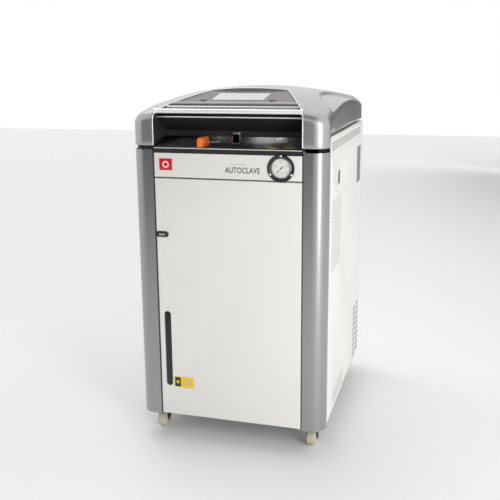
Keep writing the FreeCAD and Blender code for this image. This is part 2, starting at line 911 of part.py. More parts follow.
def front_door():
    """The folded steel door: a skin with a return along all four edges and a level slot."""
    wall = d.panel_wall
    x = door_half
    front = -half_depth
    low, high = door_bottom, d.door_top
    shell = box("door_block", (-x, front, low), (x, door_back, high))
    hollow = box("door_hollow", (wall - x, front + wall, low + wall), (x - wall, door_back + 5, high - wall))
    half = d.window_slot_width / 2
    place_x = -d.window_slot_place
    low_z, high_z = d.window_slot_low, d.window_slot_high
    slot = fuse(
        "door_slot",
        [
            box("slot_middle", (place_x - half, front - 5, low_z + half), (place_x + half, front + 12, high_z - half)),
            cylinder("slot_low_end", "y", (place_x, front - 5, low_z + half), half, 17),
            cylinder("slot_high_end", "y", (place_x, front - 5, high_z - half), half, 17),
        ],
    )
    latch = box(
        "door_latch_cut",
        (-d.latch_place - d.latch_width / 2 + 2, front - 5, d.latch_height - d.latch_thick / 2 + 2),
        (-d.latch_place + d.latch_width / 2 - 2, front + 5, d.latch_height + d.latch_thick / 2 - 2),
    )
    bore = cylinder("door_pin_bore", "z", (*door_axis, low - 5), d.hinge_radius / 3 + d.running_fit, high - low + 10)
    return node(cut("front_door", shell, [hollow, slot, latch, bore]), "front_door")


def level_window():
    """The smoked window behind the level slot."""
    half = d.window_slot_width / 2 + 4
    x = -d.window_slot_place
    y = -half_depth + d.panel_wall
    low = (x - half, y, d.window_slot_low - 6)
    return node(box("level_window", low, (x + half, y + 2, d.window_slot_high + 6)), "level_window")


def door_hinge_pins():
    """The two short pins that the door turns on, each on a lug from the frame."""
    x, y = door_axis
    r = d.hinge_radius / 3
    back = frame_front
    pins = []
    for word, z0, z1, lug in (
        ("low", column_bottom, door_bottom + 8, column_bottom),
        ("high", d.door_top - 8, d.panel_bottom - 1, d.panel_bottom - 3),
    ):
        pin = cylinder(f"{word}_pin", "z", (x, y, z0), r, z1 - z0)
        plate = box(f"{word}_lug", (x - 6, y - 3, lug), (x + 2.4, back, lug + 2))
        pins.append(fuse(f"{word}_door_hinge", [pin, plate]))
    return node(group("door_hinge_pins", pins), "door_hinge_pins")


def latch_button():
    """The oval push button that frees the door."""
    x, z = -d.latch_place, d.latch_height
    a, b = d.latch_width / 2, d.latch_thick / 2
    front = -half_depth
    travel = d.latch_travel
    cap = box("latch_cap", (x - a, front - 2 - travel, z - b), (x + a, front - travel, z + b))
    face = round_edges("latch_face", cap, b - 0.3, lambda edge: along_axis(edge, "y"))
    stem = box("latch_stem", (x - a + 2.5, front - travel - 1, z - b + 2.5), (x + a - 2.5, front + 7, z + b - 2.5))
    return node(fuse("latch_button", [face, stem]), "latch_button")

# ---------------------------------------------------------------- pressure gauge

gauge = (d.gauge_place, d.gauge_height)


def gauge_part(label, start, radius, length):
    x, z = gauge
    return cylinder(label, "y", (x, -half_depth + start, z), radius, length)


def gauge_case():
    shell = gauge_part("gauge_tube", 0, d.gauge_case_radius, d.gauge_case_depth)
    hollow = gauge_part("gauge_hollow", -5, d.gauge_case_radius - 2, d.gauge_case_depth + 3)
    stem = gauge_part("gauge_stem", d.gauge_case_depth, 6, 16)
    return node(fuse("gauge_case", [cut("gauge_shell", shell, [hollow]), stem]), "gauge_case")


def gauge_flange():
    """The black mounting ring, screwed to the panel at three points."""
    plate = gauge_part("flange_plate", -4, d.gauge_flange_radius, 4)
    hole = gauge_part("flange_hole", -9, d.gauge_dial_radius, 20)
    holes = [hole]
    for i, (x, z) in enumerate(screw_places()):
        holes.append(cylinder(f"flange_screw_{i}", "y", (x, -half_depth - 9, z), 1.6, 20))
    return node(cut("gauge_flange", plate, holes), "gauge_flange")


def screw_places():
    """Three screws round the dial, the first at the top."""
    r = (d.gauge_flange_radius + d.gauge_dial_radius) / 2
    places = []
    for i in range(3):
        turn = math.radians(90 + 120 * i)
        places.append((gauge[0] + r * math.cos(turn), gauge[1] + r * math.sin(turn)))
    return places


def gauge_screws():
    screws = []
    for i, (x, z) in enumerate(screw_places()):
        head = cylinder(f"screw_head_{i}", "y", (x, -half_depth - 5.4, z), 2.6, 1.4)
        shank = cylinder(f"screw_shank_{i}", "y", (x, -half_depth - 4, z), 1.5, 4)
        screws.append(fuse(f"screw_{i}", [head, shank]))
    return node(group("gauge_screws", screws), "gauge_screws")


def gauge_dial():
    plate = gauge_part("dial_plate", 3, d.gauge_case_radius - 2.1, 1)
    hole = gauge_part("dial_hole", 0, 1.2 + d.running_fit, 20)
    return node(cut("gauge_dial", plate, [hole]), "gauge_dial")


def gauge_pointer():
    """The pointer on its arbor, resting at the lower left of the scale."""
    x, z = gauge
    y = -half_depth + 1.4
    arbor = cylinder("pointer_arbor", "y", (x, y, z), 1.2, 8)
    boss = cylinder("pointer_boss", "y", (x, y, z), 3, 0.8)
    blade = part("Part::Box", "pointer_blade")
    for prop, value in (("Length", 26), ("Width", 0.8), ("Height", 1.6)):
        bind(blade, prop, value)
    turn = 225
    c, s = math.cos(math.radians(turn)), math.sin(math.radians(turn))
    place(blade, x - 6 * c + 0.8 * s, y, z - 6 * s - 0.8 * c, axis=(0, -1, 0), angle=turn)
    return node(fuse("gauge_pointer", [arbor, boss, blade]), "gauge_pointer")


def gauge_lens():
    return node(gauge_part("gauge_lens", -2.6, d.gauge_dial_radius - 0.2, 2), "gauge_lens")

# ---------------------------------------------------------------- side fittings


def breaker_body():
    """The circuit breaker in its recess on the right side."""
    x = half_width
    y, z = -d.breaker_place, d.breaker_height
    gap = d.fit_gap
    block = box("breaker_block", (x - 40, y - 18 + gap, z - 22 + gap), (x - 0.5, y + 18 - gap, z + 22 - gap))
    recess = box("breaker_recess", (x - 14, y - 13, z - 17), (x + 5, y + 13, z + 17))
    return node(cut("breaker_body", block, [recess]), "breaker_body")


def breaker_toggle():
    """The breaker's rocking lever, up when it is on."""
    x = half_width
    y, z = -d.breaker_place, d.breaker_height
    hub = cylinder("toggle_hub", "y", (x - 9, y - 7, z), 4.5, 14)
    lever = part("Part::Box", "toggle_lever")
    for prop, value in (("Length", 14), ("Width", 10), ("Height", 5)):
        bind(lever, prop, value)
    place(lever, x - 11.0, y - 5, z + 0.5, axis=(0, 1, 0), angle=-30)
    return node(fuse("breaker_toggle", [hub, lever]), "breaker_toggle")


def fan_frame():
    """The square cooling fan behind the right side's grille."""
    half = d.fan_size / 2
    y, z = d.fan_place, d.fan_height
    x1 = inner_x - 0.5
    block = box("fan_block", (x1 - d.fan_depth, y - half, z - half), (x1, y + half, z + half))
    duct = cylinder("fan_duct", "x", (x1 - d.fan_depth - 5, y, z), half - 3, d.fan_depth + 20)
    ring_cut = cut("fan_square", block, [duct])
    hub = cylinder("fan_motor", "x", (x1 - d.fan_depth, y, z), 14, 4)
    arms = []
    for i in range(4):
        arm = part("Part::Box", f"fan_arm_{i}")
        for prop, value in (("Length", 3), ("Width", half - 2), ("Height", 4)):
            bind(arm, prop, value)
        turn = math.radians(45 + 90 * i)
        y0 = y + 2 * math.sin(turn)
        place(arm, x1 - d.fan_depth, y0, z - 2 * math.cos(turn), axis=(1, 0, 0), angle=45 + 90 * i)
        arms.append(arm)
    pin = cylinder("fan_pin", "x", (x1 - d.fan_depth, y, z), 2, 15)
    return node(fuse("fan_frame", [ring_cut, hub, pin] + arms), "fan_frame")


def fan_rotor():
    """Seven raked blades on a cup hub."""
    y, z = d.fan_place, d.fan_height
    x1 = inner_x - 0.5
    hub = cylinder("rotor_hub", "x", (x1 - d.fan_depth + 5, y, z), 14, 15)
    blades = []
    for i in range(7):
        blade = part("Part::Box", f"rotor_blade_{i}")
        for prop, value in (("Length", 1.6), ("Width", d.fan_size / 2 - 5), ("Height", 13)):
            bind(blade, prop, value)
        turn = 360 * i / 7
        spin = FreeCAD.Rotation(V(1, 0, 0), turn)
        rake = FreeCAD.Rotation(V(0, 1, 0), 0).multiply(FreeCAD.Rotation(V(0, 1, 0), 35))
        blade.Placement = FreeCAD.Placement(V(0, 0, 0), spin.multiply(rake))
        for axis, at in zip("xyz", (x1 - d.fan_depth + 8, y, z)):
            bind(blade, f"Placement.Base.{axis}", at)
        blades.append(blade)
    bore = cylinder("rotor_bore", "x", (x1 - d.fan_depth, y, z), 2 + d.running_fit, 16)
    return node(cut("fan_rotor", fuse("rotor_solid", [hub] + blades), [bore]), "fan_rotor")


def cord_gland():
    """The cable gland low on the back, where the mains cord goes in."""
    start = half_depth - 14
    r = d.gland_radius
    stem = cylinder("gland_stem", "y", (-180, start, 150), r + 4, 32)
    nut = cylinder("gland_nut", "y", (-180, half_depth, 150), r + 8, 9)
    lock = cylinder("gland_lock", "y", (-180, start + 4, 150), r + 8, 8)
    bore = cylinder("gland_bore", "y", (-180, start - 5, 150), r, 60)
    return node(cut("cord_gland", fuse("gland_solid", [stem, nut, lock]), [bore]), "cord_gland")


# ---------------------------------------------------------------- casters

casters = [
    ("front_left", -1, -1),
    ("front_right", 1, -1),
    ("rear_left", -1, 1),
    ("rear_right", 1, 1),
]


caster_plates = []


def caster(word, sx, sy):
    """A swivel caster: a plate under the tray, a fork that swivels and a wheel that rolls."""
    x = d.caster_side * sx
    y = (d.caster_front if sy < 0 else d.caster_rear) * sy
    axle_y = y + d.caster_offset * sy
    r = d.wheel_radius
    half = d.wheel_width / 2
    top = base_height
    plate = box(f"{word}_plate_flat", (x - 26, y - 26, top - 3), (x + 26, y + 26, top))
    stem = cylinder(f"{word}_stem", "z", (x, y, top - 11), d.stem_radius, 9)
    caster_plates.append(fuse(f"{word}_caster_plate", [plate, stem]))
    crown_top = top - 4
    near, far = (y - 12, axle_y + 9) if sy > 0 else (axle_y - 9, y + 12)
    crown = box(f"{word}_crown", (x - half - 4, near, crown_top - 7), (x + half + 4, far, crown_top))
    disc = cylinder(f"{word}_disc", "z", (x, y, crown_top - 7), 18, 7)
    cheeks = []
    for side in (-1, 1):
        a = (half + 1) * side
        b = (half + 4) * side
        low, high = (a, b) if side > 0 else (b, a)
        end = (x + high, axle_y + 9, crown_top - 6)
        cheeks.append(box(f"{word}_cheek_{side}", (x + low, axle_y - 9, r - 6), end))
    axle = cylinder(f"{word}_axle", "x", (x - half - 6, axle_y, r), d.wheel_bore, d.wheel_width + 12)
    socket = cylinder(f"{word}_socket", "z", (x, y, crown_top - 8), d.stem_radius + d.running_fit, 20)
    fork = cut(f"{word}_fork_body", fuse(f"{word}_fork_solid", [crown, disc] + cheeks), [socket])
    node(fuse(f"{word}_caster_fork", [fork, axle]), f"{word}_caster_fork")
    wheel = cylinder(f"{word}_tread", "x", (x - half, axle_y, r), r, d.wheel_width)
    shaped = round_edges(f"{word}_rim", wheel, 2, lambda edge: True)
    bore = cylinder(f"{word}_bore", "x", (x - 30, axle_y, r), d.wheel_bore + d.running_fit, 60)
    node(cut(f"{word}_wheel", shaped, [bore]), f"{word}_wheel")


for build in (
    front_door, level_window, door_hinge_pins, latch_button,
    gauge_case, gauge_flange, gauge_screws, gauge_dial, gauge_pointer, gauge_lens,
    breaker_body, breaker_toggle, fan_frame, fan_rotor, cord_gland,
):
    build()
for word, sx, sy in casters:
    caster(word, sx, sy)
node(group("caster_plates", caster_plates), "caster_plates")

# ---------------------------------------------------------------- lid

slope = math.degrees(math.atan2(float(d.recess_rise), float(recess_front - d.recess_rear)))
recess_low = d.recess_front_height


def crown(label, inset):
    """A block whose top is arched both ways, smaller by an inset all round."""
    half = half_width - inset
    across = (half_width * half_width + d.crown_side_drop * d.crown_side_drop) / (2 * d.crown_side_drop)
    along = (half_depth * half_depth + d.crown_end_drop * d.crown_end_drop) / (2 * d.crown_end_drop)
    top = along - inset
    edge = top - d.crown_side_drop
    foot = along - 260
    body = new_body(label)
    sketch = new_sketch(body, "xz")
    radius = across.number
    centre = V(0, top.number - radius, 0)
    swing = math.asin(half.number / radius)
    arc = Part.ArcOfCircle(Part.Circle(centre, V(0, 0, 1), radius), math.pi / 2 - swing, math.pi / 2 + swing)
    points = [V(-half.number, edge.number, 0), V(-half.number, foot.number, 0)]
    points += [V(half.number, foot.number, 0), V(half.number, edge.number, 0)]
    curve = sketch.addGeometry(arc, False)
    sides = [sketch.addGeometry(Part.LineSegment(a, b), False) for a, b in zip(points, points[1:])]
    chain = [(curve, 2, 1)] + [(side, 2, 2) for side in sides]
    places = [(-half, edge), (-half, foot), (half, foot), (half, edge)]
    for i, (piece, last, _) in enumerate(chain):
        following = sides[i] if i < len(sides) else curve
        sketch.addConstraint(Sketcher.Constraint("Coincident", piece, last, following, 1))
        pin_point(sketch, piece, last, places[i])
    number = sketch.addConstraint(Sketcher.Constraint("Radius", curve, radius))
    sketch.setExpression(f"Constraints[{number}]", across.formula)
    feature = body.newObject("PartDesign::Revolution", label + "_turned")
    feature.Profile = sketch
    feature.ReferenceAxis = (sketch, ["H_Axis"])
    feature.Angle = 40
    feature.Midplane = True
    body.Tip = feature
    place(body, 0, d.crown_centre, d.lid_top - along)
    return body


def lid_block(label, inset, low):
    """The lid's outer form: upright rounded sides under the crown, with soft shoulders."""
    x, y = half_width - inset, half_depth - inset
    r = d.corner_radius - inset
    sides = prism(label + "_sides", "xy", low, d.lid_top + 20, [(-x, -y, r), (x, -y, r), (x, y, r), (-x, y, r)])
    form = common(label + "_form", sides, crown(label + "_crown", inset))
    lowest = d.lid_top - d.crown_side_drop - d.crown_end_drop - 40

    def on_shoulder(edge):
        return edge.BoundBox.ZMin > float(lowest)

    return round_edges(label, form, d.lid_shoulder - inset, on_shoulder)


def recess_outline(front, margin):
    """The tapering outline of the recess, from a front line to its rear edge."""
    rear = -d.recess_rear - margin
    taper = (d.recess_width - d.recess_rear_width) / 2 / (recess_front - d.recess_rear)
    narrow = d.recess_rear_width / 2 - margin
    wide = narrow + taper * (size(rear) - front)
    return [(-wide, front), (wide, front), (narrow, rear), (-narrow, rear)]


def recess_wedge(label, drop, high):
    """What lies above the recess's sloping floor, lowered by a drop."""
    front, rear = -recess_front, -d.recess_rear
    z0 = recess_low - drop
    z1 = z0 + d.recess_rise
    x = half_width
    return prism(label, "yz", -x, x, [(front, z0), (rear, z1), (rear, high), (front, high)])


def lid_shell():
    """The pressed outer lid with its front window and the sloping recess for the controls."""
    wall = d.lid_wall
    front = -half_depth
    shell = cut("lid_skin", lid_block("lid_outer", 0, d.lid_front_bottom), [lid_block("lid_inner", wall, 780)])
    beyond = half_width + 20
    skirt = box("skirt_cut", (-beyond, seam_y, 780), (beyond, half_depth + 20, d.lid_side_bottom))
    half = d.window_width / 2
    window = box("window_block", (-half, front - 10, 780), (half, front + 12, d.window_top))
    window = round_edges("window_cut", window, d.window_radius, top_ends(half))
    hand = prism("hand_recess", "xy", d.window_top - 24, 1000, recess_outline(front - 10, 0))
    hand_front = box("hand_front", (-beyond, front - 20, 780), (beyond, -recess_front, 1010))
    above = common("hand_cut", hand, hand_front)
    floor_outline = prism("floor_outline", "xy", 900, 1000, recess_outline(-recess_front, -wall))
    tray = common("recess_slab", floor_outline, recess_wedge("recess_body", wall, 1000))
    tray = common("recess_tray", tray, lid_block("lid_limit", 0, d.lid_front_bottom))
    cheeks = []
    for side in (-1, 1):
        low, high = (half, half + wall) if side > 0 else (-half - wall, -half)
        top = d.window_top
        start = (low, front + wall - 0.5, d.lid_front_bottom)
        cheeks.append(box(f"cheek_{side}", start, (high, 29 - recess_front, top)))
    opening = prism("panel_outline", "xy", 900, 1000, recess_outline(-recess_front - 2, 0))
    opening = common("panel_cut", opening, recess_wedge("panel_space", 0, 1010))
    solid = fuse("lid_solid", [shell, tray] + cheeks)
    bar_start = (-half, front + d.bar_setback, d.bar_height)
    seat = cylinder("bar_seat", "x", bar_start, d.bar_radius + 0.3, half * 2)
    return node(cut("lid_shell", solid, [skirt, window, above, opening, seat]), "lid_shell")


def top_ends(half):
    """Picks the window's two upper edges, which run back from the front."""

    def wanted(edge):
        high = edge.BoundBox.ZMin > float(d.window_top) - 1
        return high and along_axis(edge, "y")

    return wanted


def lid_liner():
    """The dark moulding behind the window, sloping back over the pressure lid."""
    x = d.window_width / 2 - 2
    profile = [(3, 928), (-9, 912), (-35, 908), (30, 868), (30, 853), (34, 853), (34, 872), (7, 928)]
    return node(prism("lid_liner", "yz", -x, x, [(y - recess_front, z) for y, z in profile]), "lid_liner")


def lid_catch():
    """The steel hook under the liner that the lock's finger slides over."""
    low = d.deck_top + 2
    root, heel, tip = 30 - recess_front, 22 - recess_front, 5 - recess_front
    leg = box("catch_leg", (-6, heel, low), (14, root, 866))
    toe = box("catch_toe", (-6, tip, low), (14, heel, low + 4))
    return node(fuse("lid_catch", [leg, toe]), "lid_catch")


def on_slope(thing, x, along, lift):
    """Stand an object on the recess's floor, square to the slope."""
    c, s = math.cos(math.radians(slope)), math.sin(math.radians(slope))
    y = along * c - lift * s - recess_front
    z = along * s + lift * c + recess_low
    place(thing, x, y, z, axis=(1, 0, 0), angle=slope)
    return thing


keys = [("start_key", 96), ("stop_key", -96)]


def control_panel():
    """The dark sloping plate with the display and the two keys."""
    length = (recess_front - d.recess_rear) / math.cos(math.radians(slope)) - 3
    wide = d.recess_width / 2 - 2
    narrow = d.recess_rear_width / 2 - 1
    body = new_body("panel_plate")
    sketch = new_sketch(body, "xy")
    outline(sketch, [(-wide, 1), (wide, 1), (narrow, 1 + length), (-narrow, 1 + length)])
    pad(body, sketch, 3)
    on_slope(body, 0, 0, 0.2)
    holes = []
    for name, x in keys:
        holes.append(on_slope(plain_cylinder(name + "_hole", 8 + d.fit_gap, 12), x, 52, -2))
    return node(cut("control_panel", body, holes), "control_panel")


def plain_cylinder(label, radius, height):
    thing = part("Part::Cylinder", label)
    bind(thing, "Radius", radius)
    bind(thing, "Height", height)
    return thing


def panel_keys():
    for name, x in keys:
        node(on_slope(plain_cylinder(name, 8, 3.8), x, 52, 1.5), name)


def grab_bar():
    """The bright bar across the window that the lid is lifted by."""
    half = d.window_width / 2
    start = (-half, -half_depth + d.bar_setback, d.bar_height)
    return node(cylinder("grab_bar", "x", start, d.bar_radius, d.window_width), "grab_bar")


def pressure_lid():
    """The domed steel lid on its cross beam, closing the chamber mouth."""
    seat = d.flange_top + d.gasket_height
    r = flange_radius - 4
    dome = revolve(
        "pressure_dome",
        "xz",
        middle,
        [
            (0, seat + 29),
            (58, seat + 29),
            (r - 38, seat + 7),
            (r - 38, seat),
            (r, seat),
            (r, seat + 8),
            (r - 30, seat + 12),
            (60, seat + 34),
            (0, seat + 34),
        ],
    )
    x = half_width - d.lid_wall
    beam = box("lid_beam", (-x, d.chamber_centre - 22, seat + 24), (x, d.chamber_centre + 22, seat + 46))
    return node(fuse("pressure_lid", [dome, beam]), "pressure_lid")


def lid_gasket():
    start = (0, d.chamber_centre, d.flange_top)
    inner = d.chamber_radius + 6
    return node(ring("lid_gasket", "z", start, inner + d.gasket_width, inner, d.gasket_height), "lid_gasket")

# ---------------------------------------------------------------- lid hinge and lock


def barrel(label, low, high):
    return cylinder(label, "x", (low, hinge_y, d.hinge_height), d.hinge_barrel, size(high) - low)


def hinge_bracket():
    """The fixed leaf on the cabinet's back, with the pin that runs right across."""
    knuckle = d.hinge_span / 2 - 92
    half = knuckle - 2
    leaf = box("bracket_leaf", (-half, half_depth, d.hinge_height - 70), (half, half_depth + 3, d.hinge_height))
    pin_half = d.hinge_span / 2 + 2
    pin = cylinder("hinge_pin", "x", (-pin_half, hinge_y, d.hinge_height), d.hinge_radius, pin_half * 2)
    return node(fuse("hinge_bracket", [leaf, barrel("bracket_barrel", -half, half), pin]), "hinge_bracket")


def lid_hinge_leaf():
    """The moving leaves on the back of the lid, with a barrel at each end of the pin."""
    knuckle = d.hinge_span / 2 - 92
    pieces = []
    for side in (-1, 1):
        low, high = (knuckle, d.hinge_span / 2) if side > 0 else (-d.hinge_span / 2, -knuckle)
        leaf_low = (low, half_depth, d.hinge_height)
        pieces.append(box(f"leaf_{side}", leaf_low, (high, half_depth + 3, d.hinge_height + 40)))
        pieces.append(barrel(f"leaf_barrel_{side}", low, high))
    start = (-half_width, hinge_y, d.hinge_height)
    bore = cylinder("leaf_bore", "x", start, d.hinge_radius + d.running_fit, d.cabinet_width)
    return node(cut("lid_hinge_leaf", fuse("leaf_solid", pieces), [bore]), "lid_hinge_leaf")


def lock_lever():
    """The orange lever that slides along the deck and pushes a finger over the lid's catch."""
    x = -d.lever_place
    half = d.lever_width / 2
    front = -half_depth + 2
    low = d.deck_top + d.fit_gap
    top = low + d.lever_height - 5
    block = box("lever_block", (x - half, front, low), (x + half, front + d.lever_depth, top))

    def nose(edge):
        forward = edge.BoundBox.YMax < float(front) + 1
        return forward and along_axis(edge, "x") and edge.BoundBox.ZMin > float(top) - 1

    shaped = round_edges("lever_nose", block, 15, nose)
    stem = box("lever_stem", (x - 6, front + 24, 812), (x + 6, front + 32, low + 2))
    slide = box("lever_slide", (x - 60, front + 22, 808), (x + 60, front + 34, 820))
    finger = box("lever_finger", (x + half - 1, front + 60, low + 7), (x + half + 26, front + 78, low + 11))
    return node(fuse("lock_lever", [shaped, stem, slide, finger]), "lock_lever")


for build in (
    lid_shell, lid_liner, lid_catch, control_panel, panel_keys, grab_bar, pressure_lid, lid_gasket,
    hinge_bracket, lid_hinge_leaf, lock_lever,
):
    build()

# ---------------------------------------------------------------- checks and files

doc.recompute()
for thing in doc.Objects:
    if "Invalid" in thing.State or "Error" in thing.State:
        raise RuntimeError(f"{thing.Label} failed: {thing.State}")
os.makedirs("parts", exist_ok=True)
for label, name in node_labels:
    shape = doc.getObject(name).Shape
    if shape.isNull() or not shape.isValid() or not shape.Solids:
        raise RuntimeError(f"{label} has no valid solid")
for label, name in node_labels:
    doc.getObject(name).Shape.exportStep(f"parts/{label}.step")
print(len(node_labels), "sub-parts written")
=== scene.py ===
# %% [markdown]
# A top-loading autoclave on casters.  The imported model brings every machined piece to its
# place; this lesson gives the visible ones their final shape and finish.  First the frame is
# loaded.

# %% The frame
import math

import bmesh
import bpy
from mathutils import Matrix, Vector


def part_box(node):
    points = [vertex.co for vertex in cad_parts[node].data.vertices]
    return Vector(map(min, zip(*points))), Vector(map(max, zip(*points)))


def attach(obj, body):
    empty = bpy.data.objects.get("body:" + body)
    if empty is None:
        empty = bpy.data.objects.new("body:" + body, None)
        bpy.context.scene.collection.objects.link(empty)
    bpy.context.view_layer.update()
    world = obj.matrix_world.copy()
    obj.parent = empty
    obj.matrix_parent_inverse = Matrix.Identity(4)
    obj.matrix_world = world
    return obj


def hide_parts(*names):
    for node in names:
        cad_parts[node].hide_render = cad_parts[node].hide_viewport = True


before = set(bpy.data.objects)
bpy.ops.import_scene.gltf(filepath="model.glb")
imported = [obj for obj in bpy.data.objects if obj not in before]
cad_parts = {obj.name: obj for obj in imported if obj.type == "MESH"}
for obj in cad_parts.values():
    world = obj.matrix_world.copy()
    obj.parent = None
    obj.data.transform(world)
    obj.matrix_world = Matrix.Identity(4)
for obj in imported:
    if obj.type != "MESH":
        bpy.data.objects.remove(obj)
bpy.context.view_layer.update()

# %% [markdown]
# The sizes that the pieces share come from the frame's own corners, so that nothing has to be
# fitted afterwards.  Lengths are metres.

# %% Shared places
MM = 0.001
lid_low, lid_high = (Vector(p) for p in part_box("lid_shell"))
door_low, door_high = (Vector(p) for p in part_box("front_door"))
upper_low, upper_high = (Vector(p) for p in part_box("upper_front_panel"))
side_low, side_high = (Vector(p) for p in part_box("right_side_panel"))
deck_low, deck_high = (Vector(p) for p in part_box("deck_plate"))
gauge_low, gauge_high = (Vector(p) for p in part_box("gauge_flange"))
gauge_middle = (gauge_low + gauge_high) / 2
half_width = lid_high.x
half_depth = lid_high.y
front_y = -half_depth
seam_y = side_low.y
print(f"cabinet {2 * half_width:.3f} x {2 * half_depth:.3f} m, lid top {lid_high.z:.3f} m")

# %% [markdown]
# Finishes come before shapes.  Two effects are used by many materials, so each is a node group
# built once: a fine grain that unsettles colour, roughness and height, and a brushed grain
# that is stretched along one axis as on rolled sheet.

# %% Node group helpers


def new_group(name, inputs, outputs):
    """An empty shader group with named sockets."""
    group = bpy.data.node_groups.new(name, "ShaderNodeTree")
    for label, kind, value in inputs:
        socket = group.interface.new_socket(label, in_out="INPUT", socket_type="NodeSocket" + kind)
        socket.default_value = value
    for label, kind in outputs:
        group.interface.new_socket(label, in_out="OUTPUT", socket_type="NodeSocket" + kind)
    return group, group.nodes.new("NodeGroupInput"), group.nodes.new("NodeGroupOutput")


def add(tree, kind, **settings):
    """A node with its settings; a plain number or colour goes to the socket of that name."""
    node = tree.nodes.new(kind)
    for key, value in settings.items():
        if hasattr(node, key):
            setattr(node, key, value)
        else:
            node.inputs[key.replace("_", " ").title()].default_value = value
    return node


def noise(tree, vector, scale, detail=4.0):
    node = add(tree, "ShaderNodeTexNoise", scale=scale, detail=detail)
    tree.links.new(vector, node.inputs["Vector"])
    return node.outputs["Fac"]


def remap(tree, value, low, high, out_low, out_high):
    node = tree.nodes.new("ShaderNodeMapRange")
    for label, number in (("From Min", low), ("From Max", high)):
        node.inputs[label].default_value = number
    for label, source in (("To Min", out_low), ("To Max", out_high)):
        if hasattr(source, "links"):
            tree.links.new(source, node.inputs[label])
        else:
            node.inputs[label].default_value = source
    tree.links.new(value, node.inputs["Value"])
    return node.outputs["Result"]


def maths(tree, operation, a, b):
    node = add(tree, "ShaderNodeMath", operation=operation)
    for socket, value in zip(node.inputs, (a, b)):
        if hasattr(value, "links"):
            tree.links.new(value, socket)
        else:
            socket.default_value = value
    return node.outputs[0]


# %% The two shared effects


def make_grain_group():
    """Soft cloudiness and a fine orange-peel, as on sprayed or moulded surfaces."""
    inputs = [
        ("Colour", "Color", (0.8, 0.8, 0.8, 1)),
        ("Roughness", "Float", 0.5),
        ("Grain", "Float", 600.0),
        ("Variation", "Float", 0.06),
        ("Height", "Float", 0.1),
    ]
    outputs = [("Colour", "Color"), ("Roughness", "Float"), ("Normal", "Vector")]
    group, sockets, result = new_group("surface_grain", inputs, outputs)
    place = group.nodes.new("ShaderNodeTexCoord").outputs["Object"]
    cloud = noise(group, place, 7.0)
    fine = noise(group, place, 1.0, 2.0)
    group.links.new(sockets.outputs["Grain"], fine.node.inputs["Scale"])
    swing = maths(group, "MULTIPLY", maths(group, "SUBTRACT", cloud, 0.5),
        sockets.outputs["Variation"])
    level = maths(group, "ADD", swing, 1.0)
    tint = add(group, "ShaderNodeVectorMath", operation="SCALE")
    group.links.new(sockets.outputs["Colour"], tint.inputs[0])
    group.links.new(level, tint.inputs["Scale"])
    group.links.new(tint.outputs[0], result.inputs["Colour"])
    scatter = maths(group, "MULTIPLY", maths(group, "SUBTRACT", fine, 0.5), 0.12)
    smear = maths(group, "MULTIPLY", maths(group, "SUBTRACT", cloud, 0.5), 0.10)
    rough = maths(group, "ADD", sockets.outputs["Roughness"], maths(group, "ADD", scatter, smear))
    group.links.new(rough, result.inputs["Roughness"])
    bump = add(group, "ShaderNodeBump", distance=0.0004)
    group.links.new(fine, bump.inputs["Height"])
    group.links.new(sockets.outputs["Height"], bump.inputs["Strength"])
    group.links.new(bump.outputs["Normal"], result.inputs["Normal"])
    return group


def make_brushed_group():
    """Long fine scratches, stretched along one axis by the Stretch vector."""
    inputs = [
        ("Colour", "Color", (0.7, 0.7, 0.7, 1)),
        ("Roughness", "Float", 0.3),
        ("Stretch", "Vector", (10, 400, 400)),
        ("Height", "Float", 0.08),
    ]
    outputs = [("Colour", "Color"), ("Roughness", "Float"), ("Normal", "Vector")]
    group, sockets, result = new_group("brushed_grain", inputs, outputs)
    place = group.nodes.new("ShaderNodeTexCoord").outputs["Object"]
    stretched = add(group, "ShaderNodeVectorMath", operation="MULTIPLY")
    group.links.new(place, stretched.inputs[0])
    group.links.new(sockets.outputs["Stretch"], stretched.inputs[1])
    lines = noise(group, stretched.outputs[0], 1.0, 3.0)
    level = remap(group, lines, 0.3, 0.7, 0.93, 1.04)
    tint = add(group, "ShaderNodeVectorMath", operation="SCALE")
    group.links.new(sockets.outputs["Colour"], tint.inputs[0])
    group.links.new(level, tint.inputs["Scale"])
    group.links.new(tint.outputs[0], result.inputs["Colour"])
    rough = maths(group, "ADD", sockets.outputs["Roughness"],
        remap(group, lines, 0.3, 0.7, -0.06, 0.08))
    group.links.new(rough, result.inputs["Roughness"])
    bump = add(group, "ShaderNodeBump", distance=0.0003)
    group.links.new(lines, bump.inputs["Height"])
    group.links.new(sockets.outputs["Height"], bump.inputs["Strength"])
    group.links.new(bump.outputs["Normal"], result.inputs["Normal"])
    return group


grain_group = make_grain_group()
brushed_group = make_brushed_group()
print("shared effects:", grain_group.name, brushed_group.name)

# %% [markdown]
# Each finish is a Principled shader fed by one of the groups.  What is the same all over the
# surface, such as metallic, coat or sheen, is set on the shader's own sockets.

# %% Finishes


def finish_material(name, group, colour, roughness, values=(), metallic=0.0, coat=0.0, **settings):
    """A material whose colour, roughness and normal come from a shared group."""
    material = bpy.data.materials.new(name)
    material.use_nodes = True
    tree = material.node_tree
    shader = tree.nodes["Principled BSDF"]
    effect = tree.nodes.new("ShaderNodeGroup")
    effect.node_tree = group
    effect.inputs["Colour"].default_value = (*colour, 1)
    effect.inputs["Roughness"].default_value = roughness
    for label, value in values:
        effect.inputs[label].default_value = value
    tree.links.new(effect.outputs["Colour"], shader.inputs["Base Color"])
    tree.links.new(effect.outputs["Roughness"], shader.inputs["Roughness"])
    tree.links.new(effect.outputs["Normal"], shader.inputs["Normal"])
    shader.inputs["Metallic"].default_value = metallic
    shader.inputs["Coat Weight"].default_value = coat
    shader.inputs["Coat Roughness"].default_value = 0.12
    for key, value in settings.items():
        shader.inputs[key.replace("_", " ").title()].default_value = value
    return material


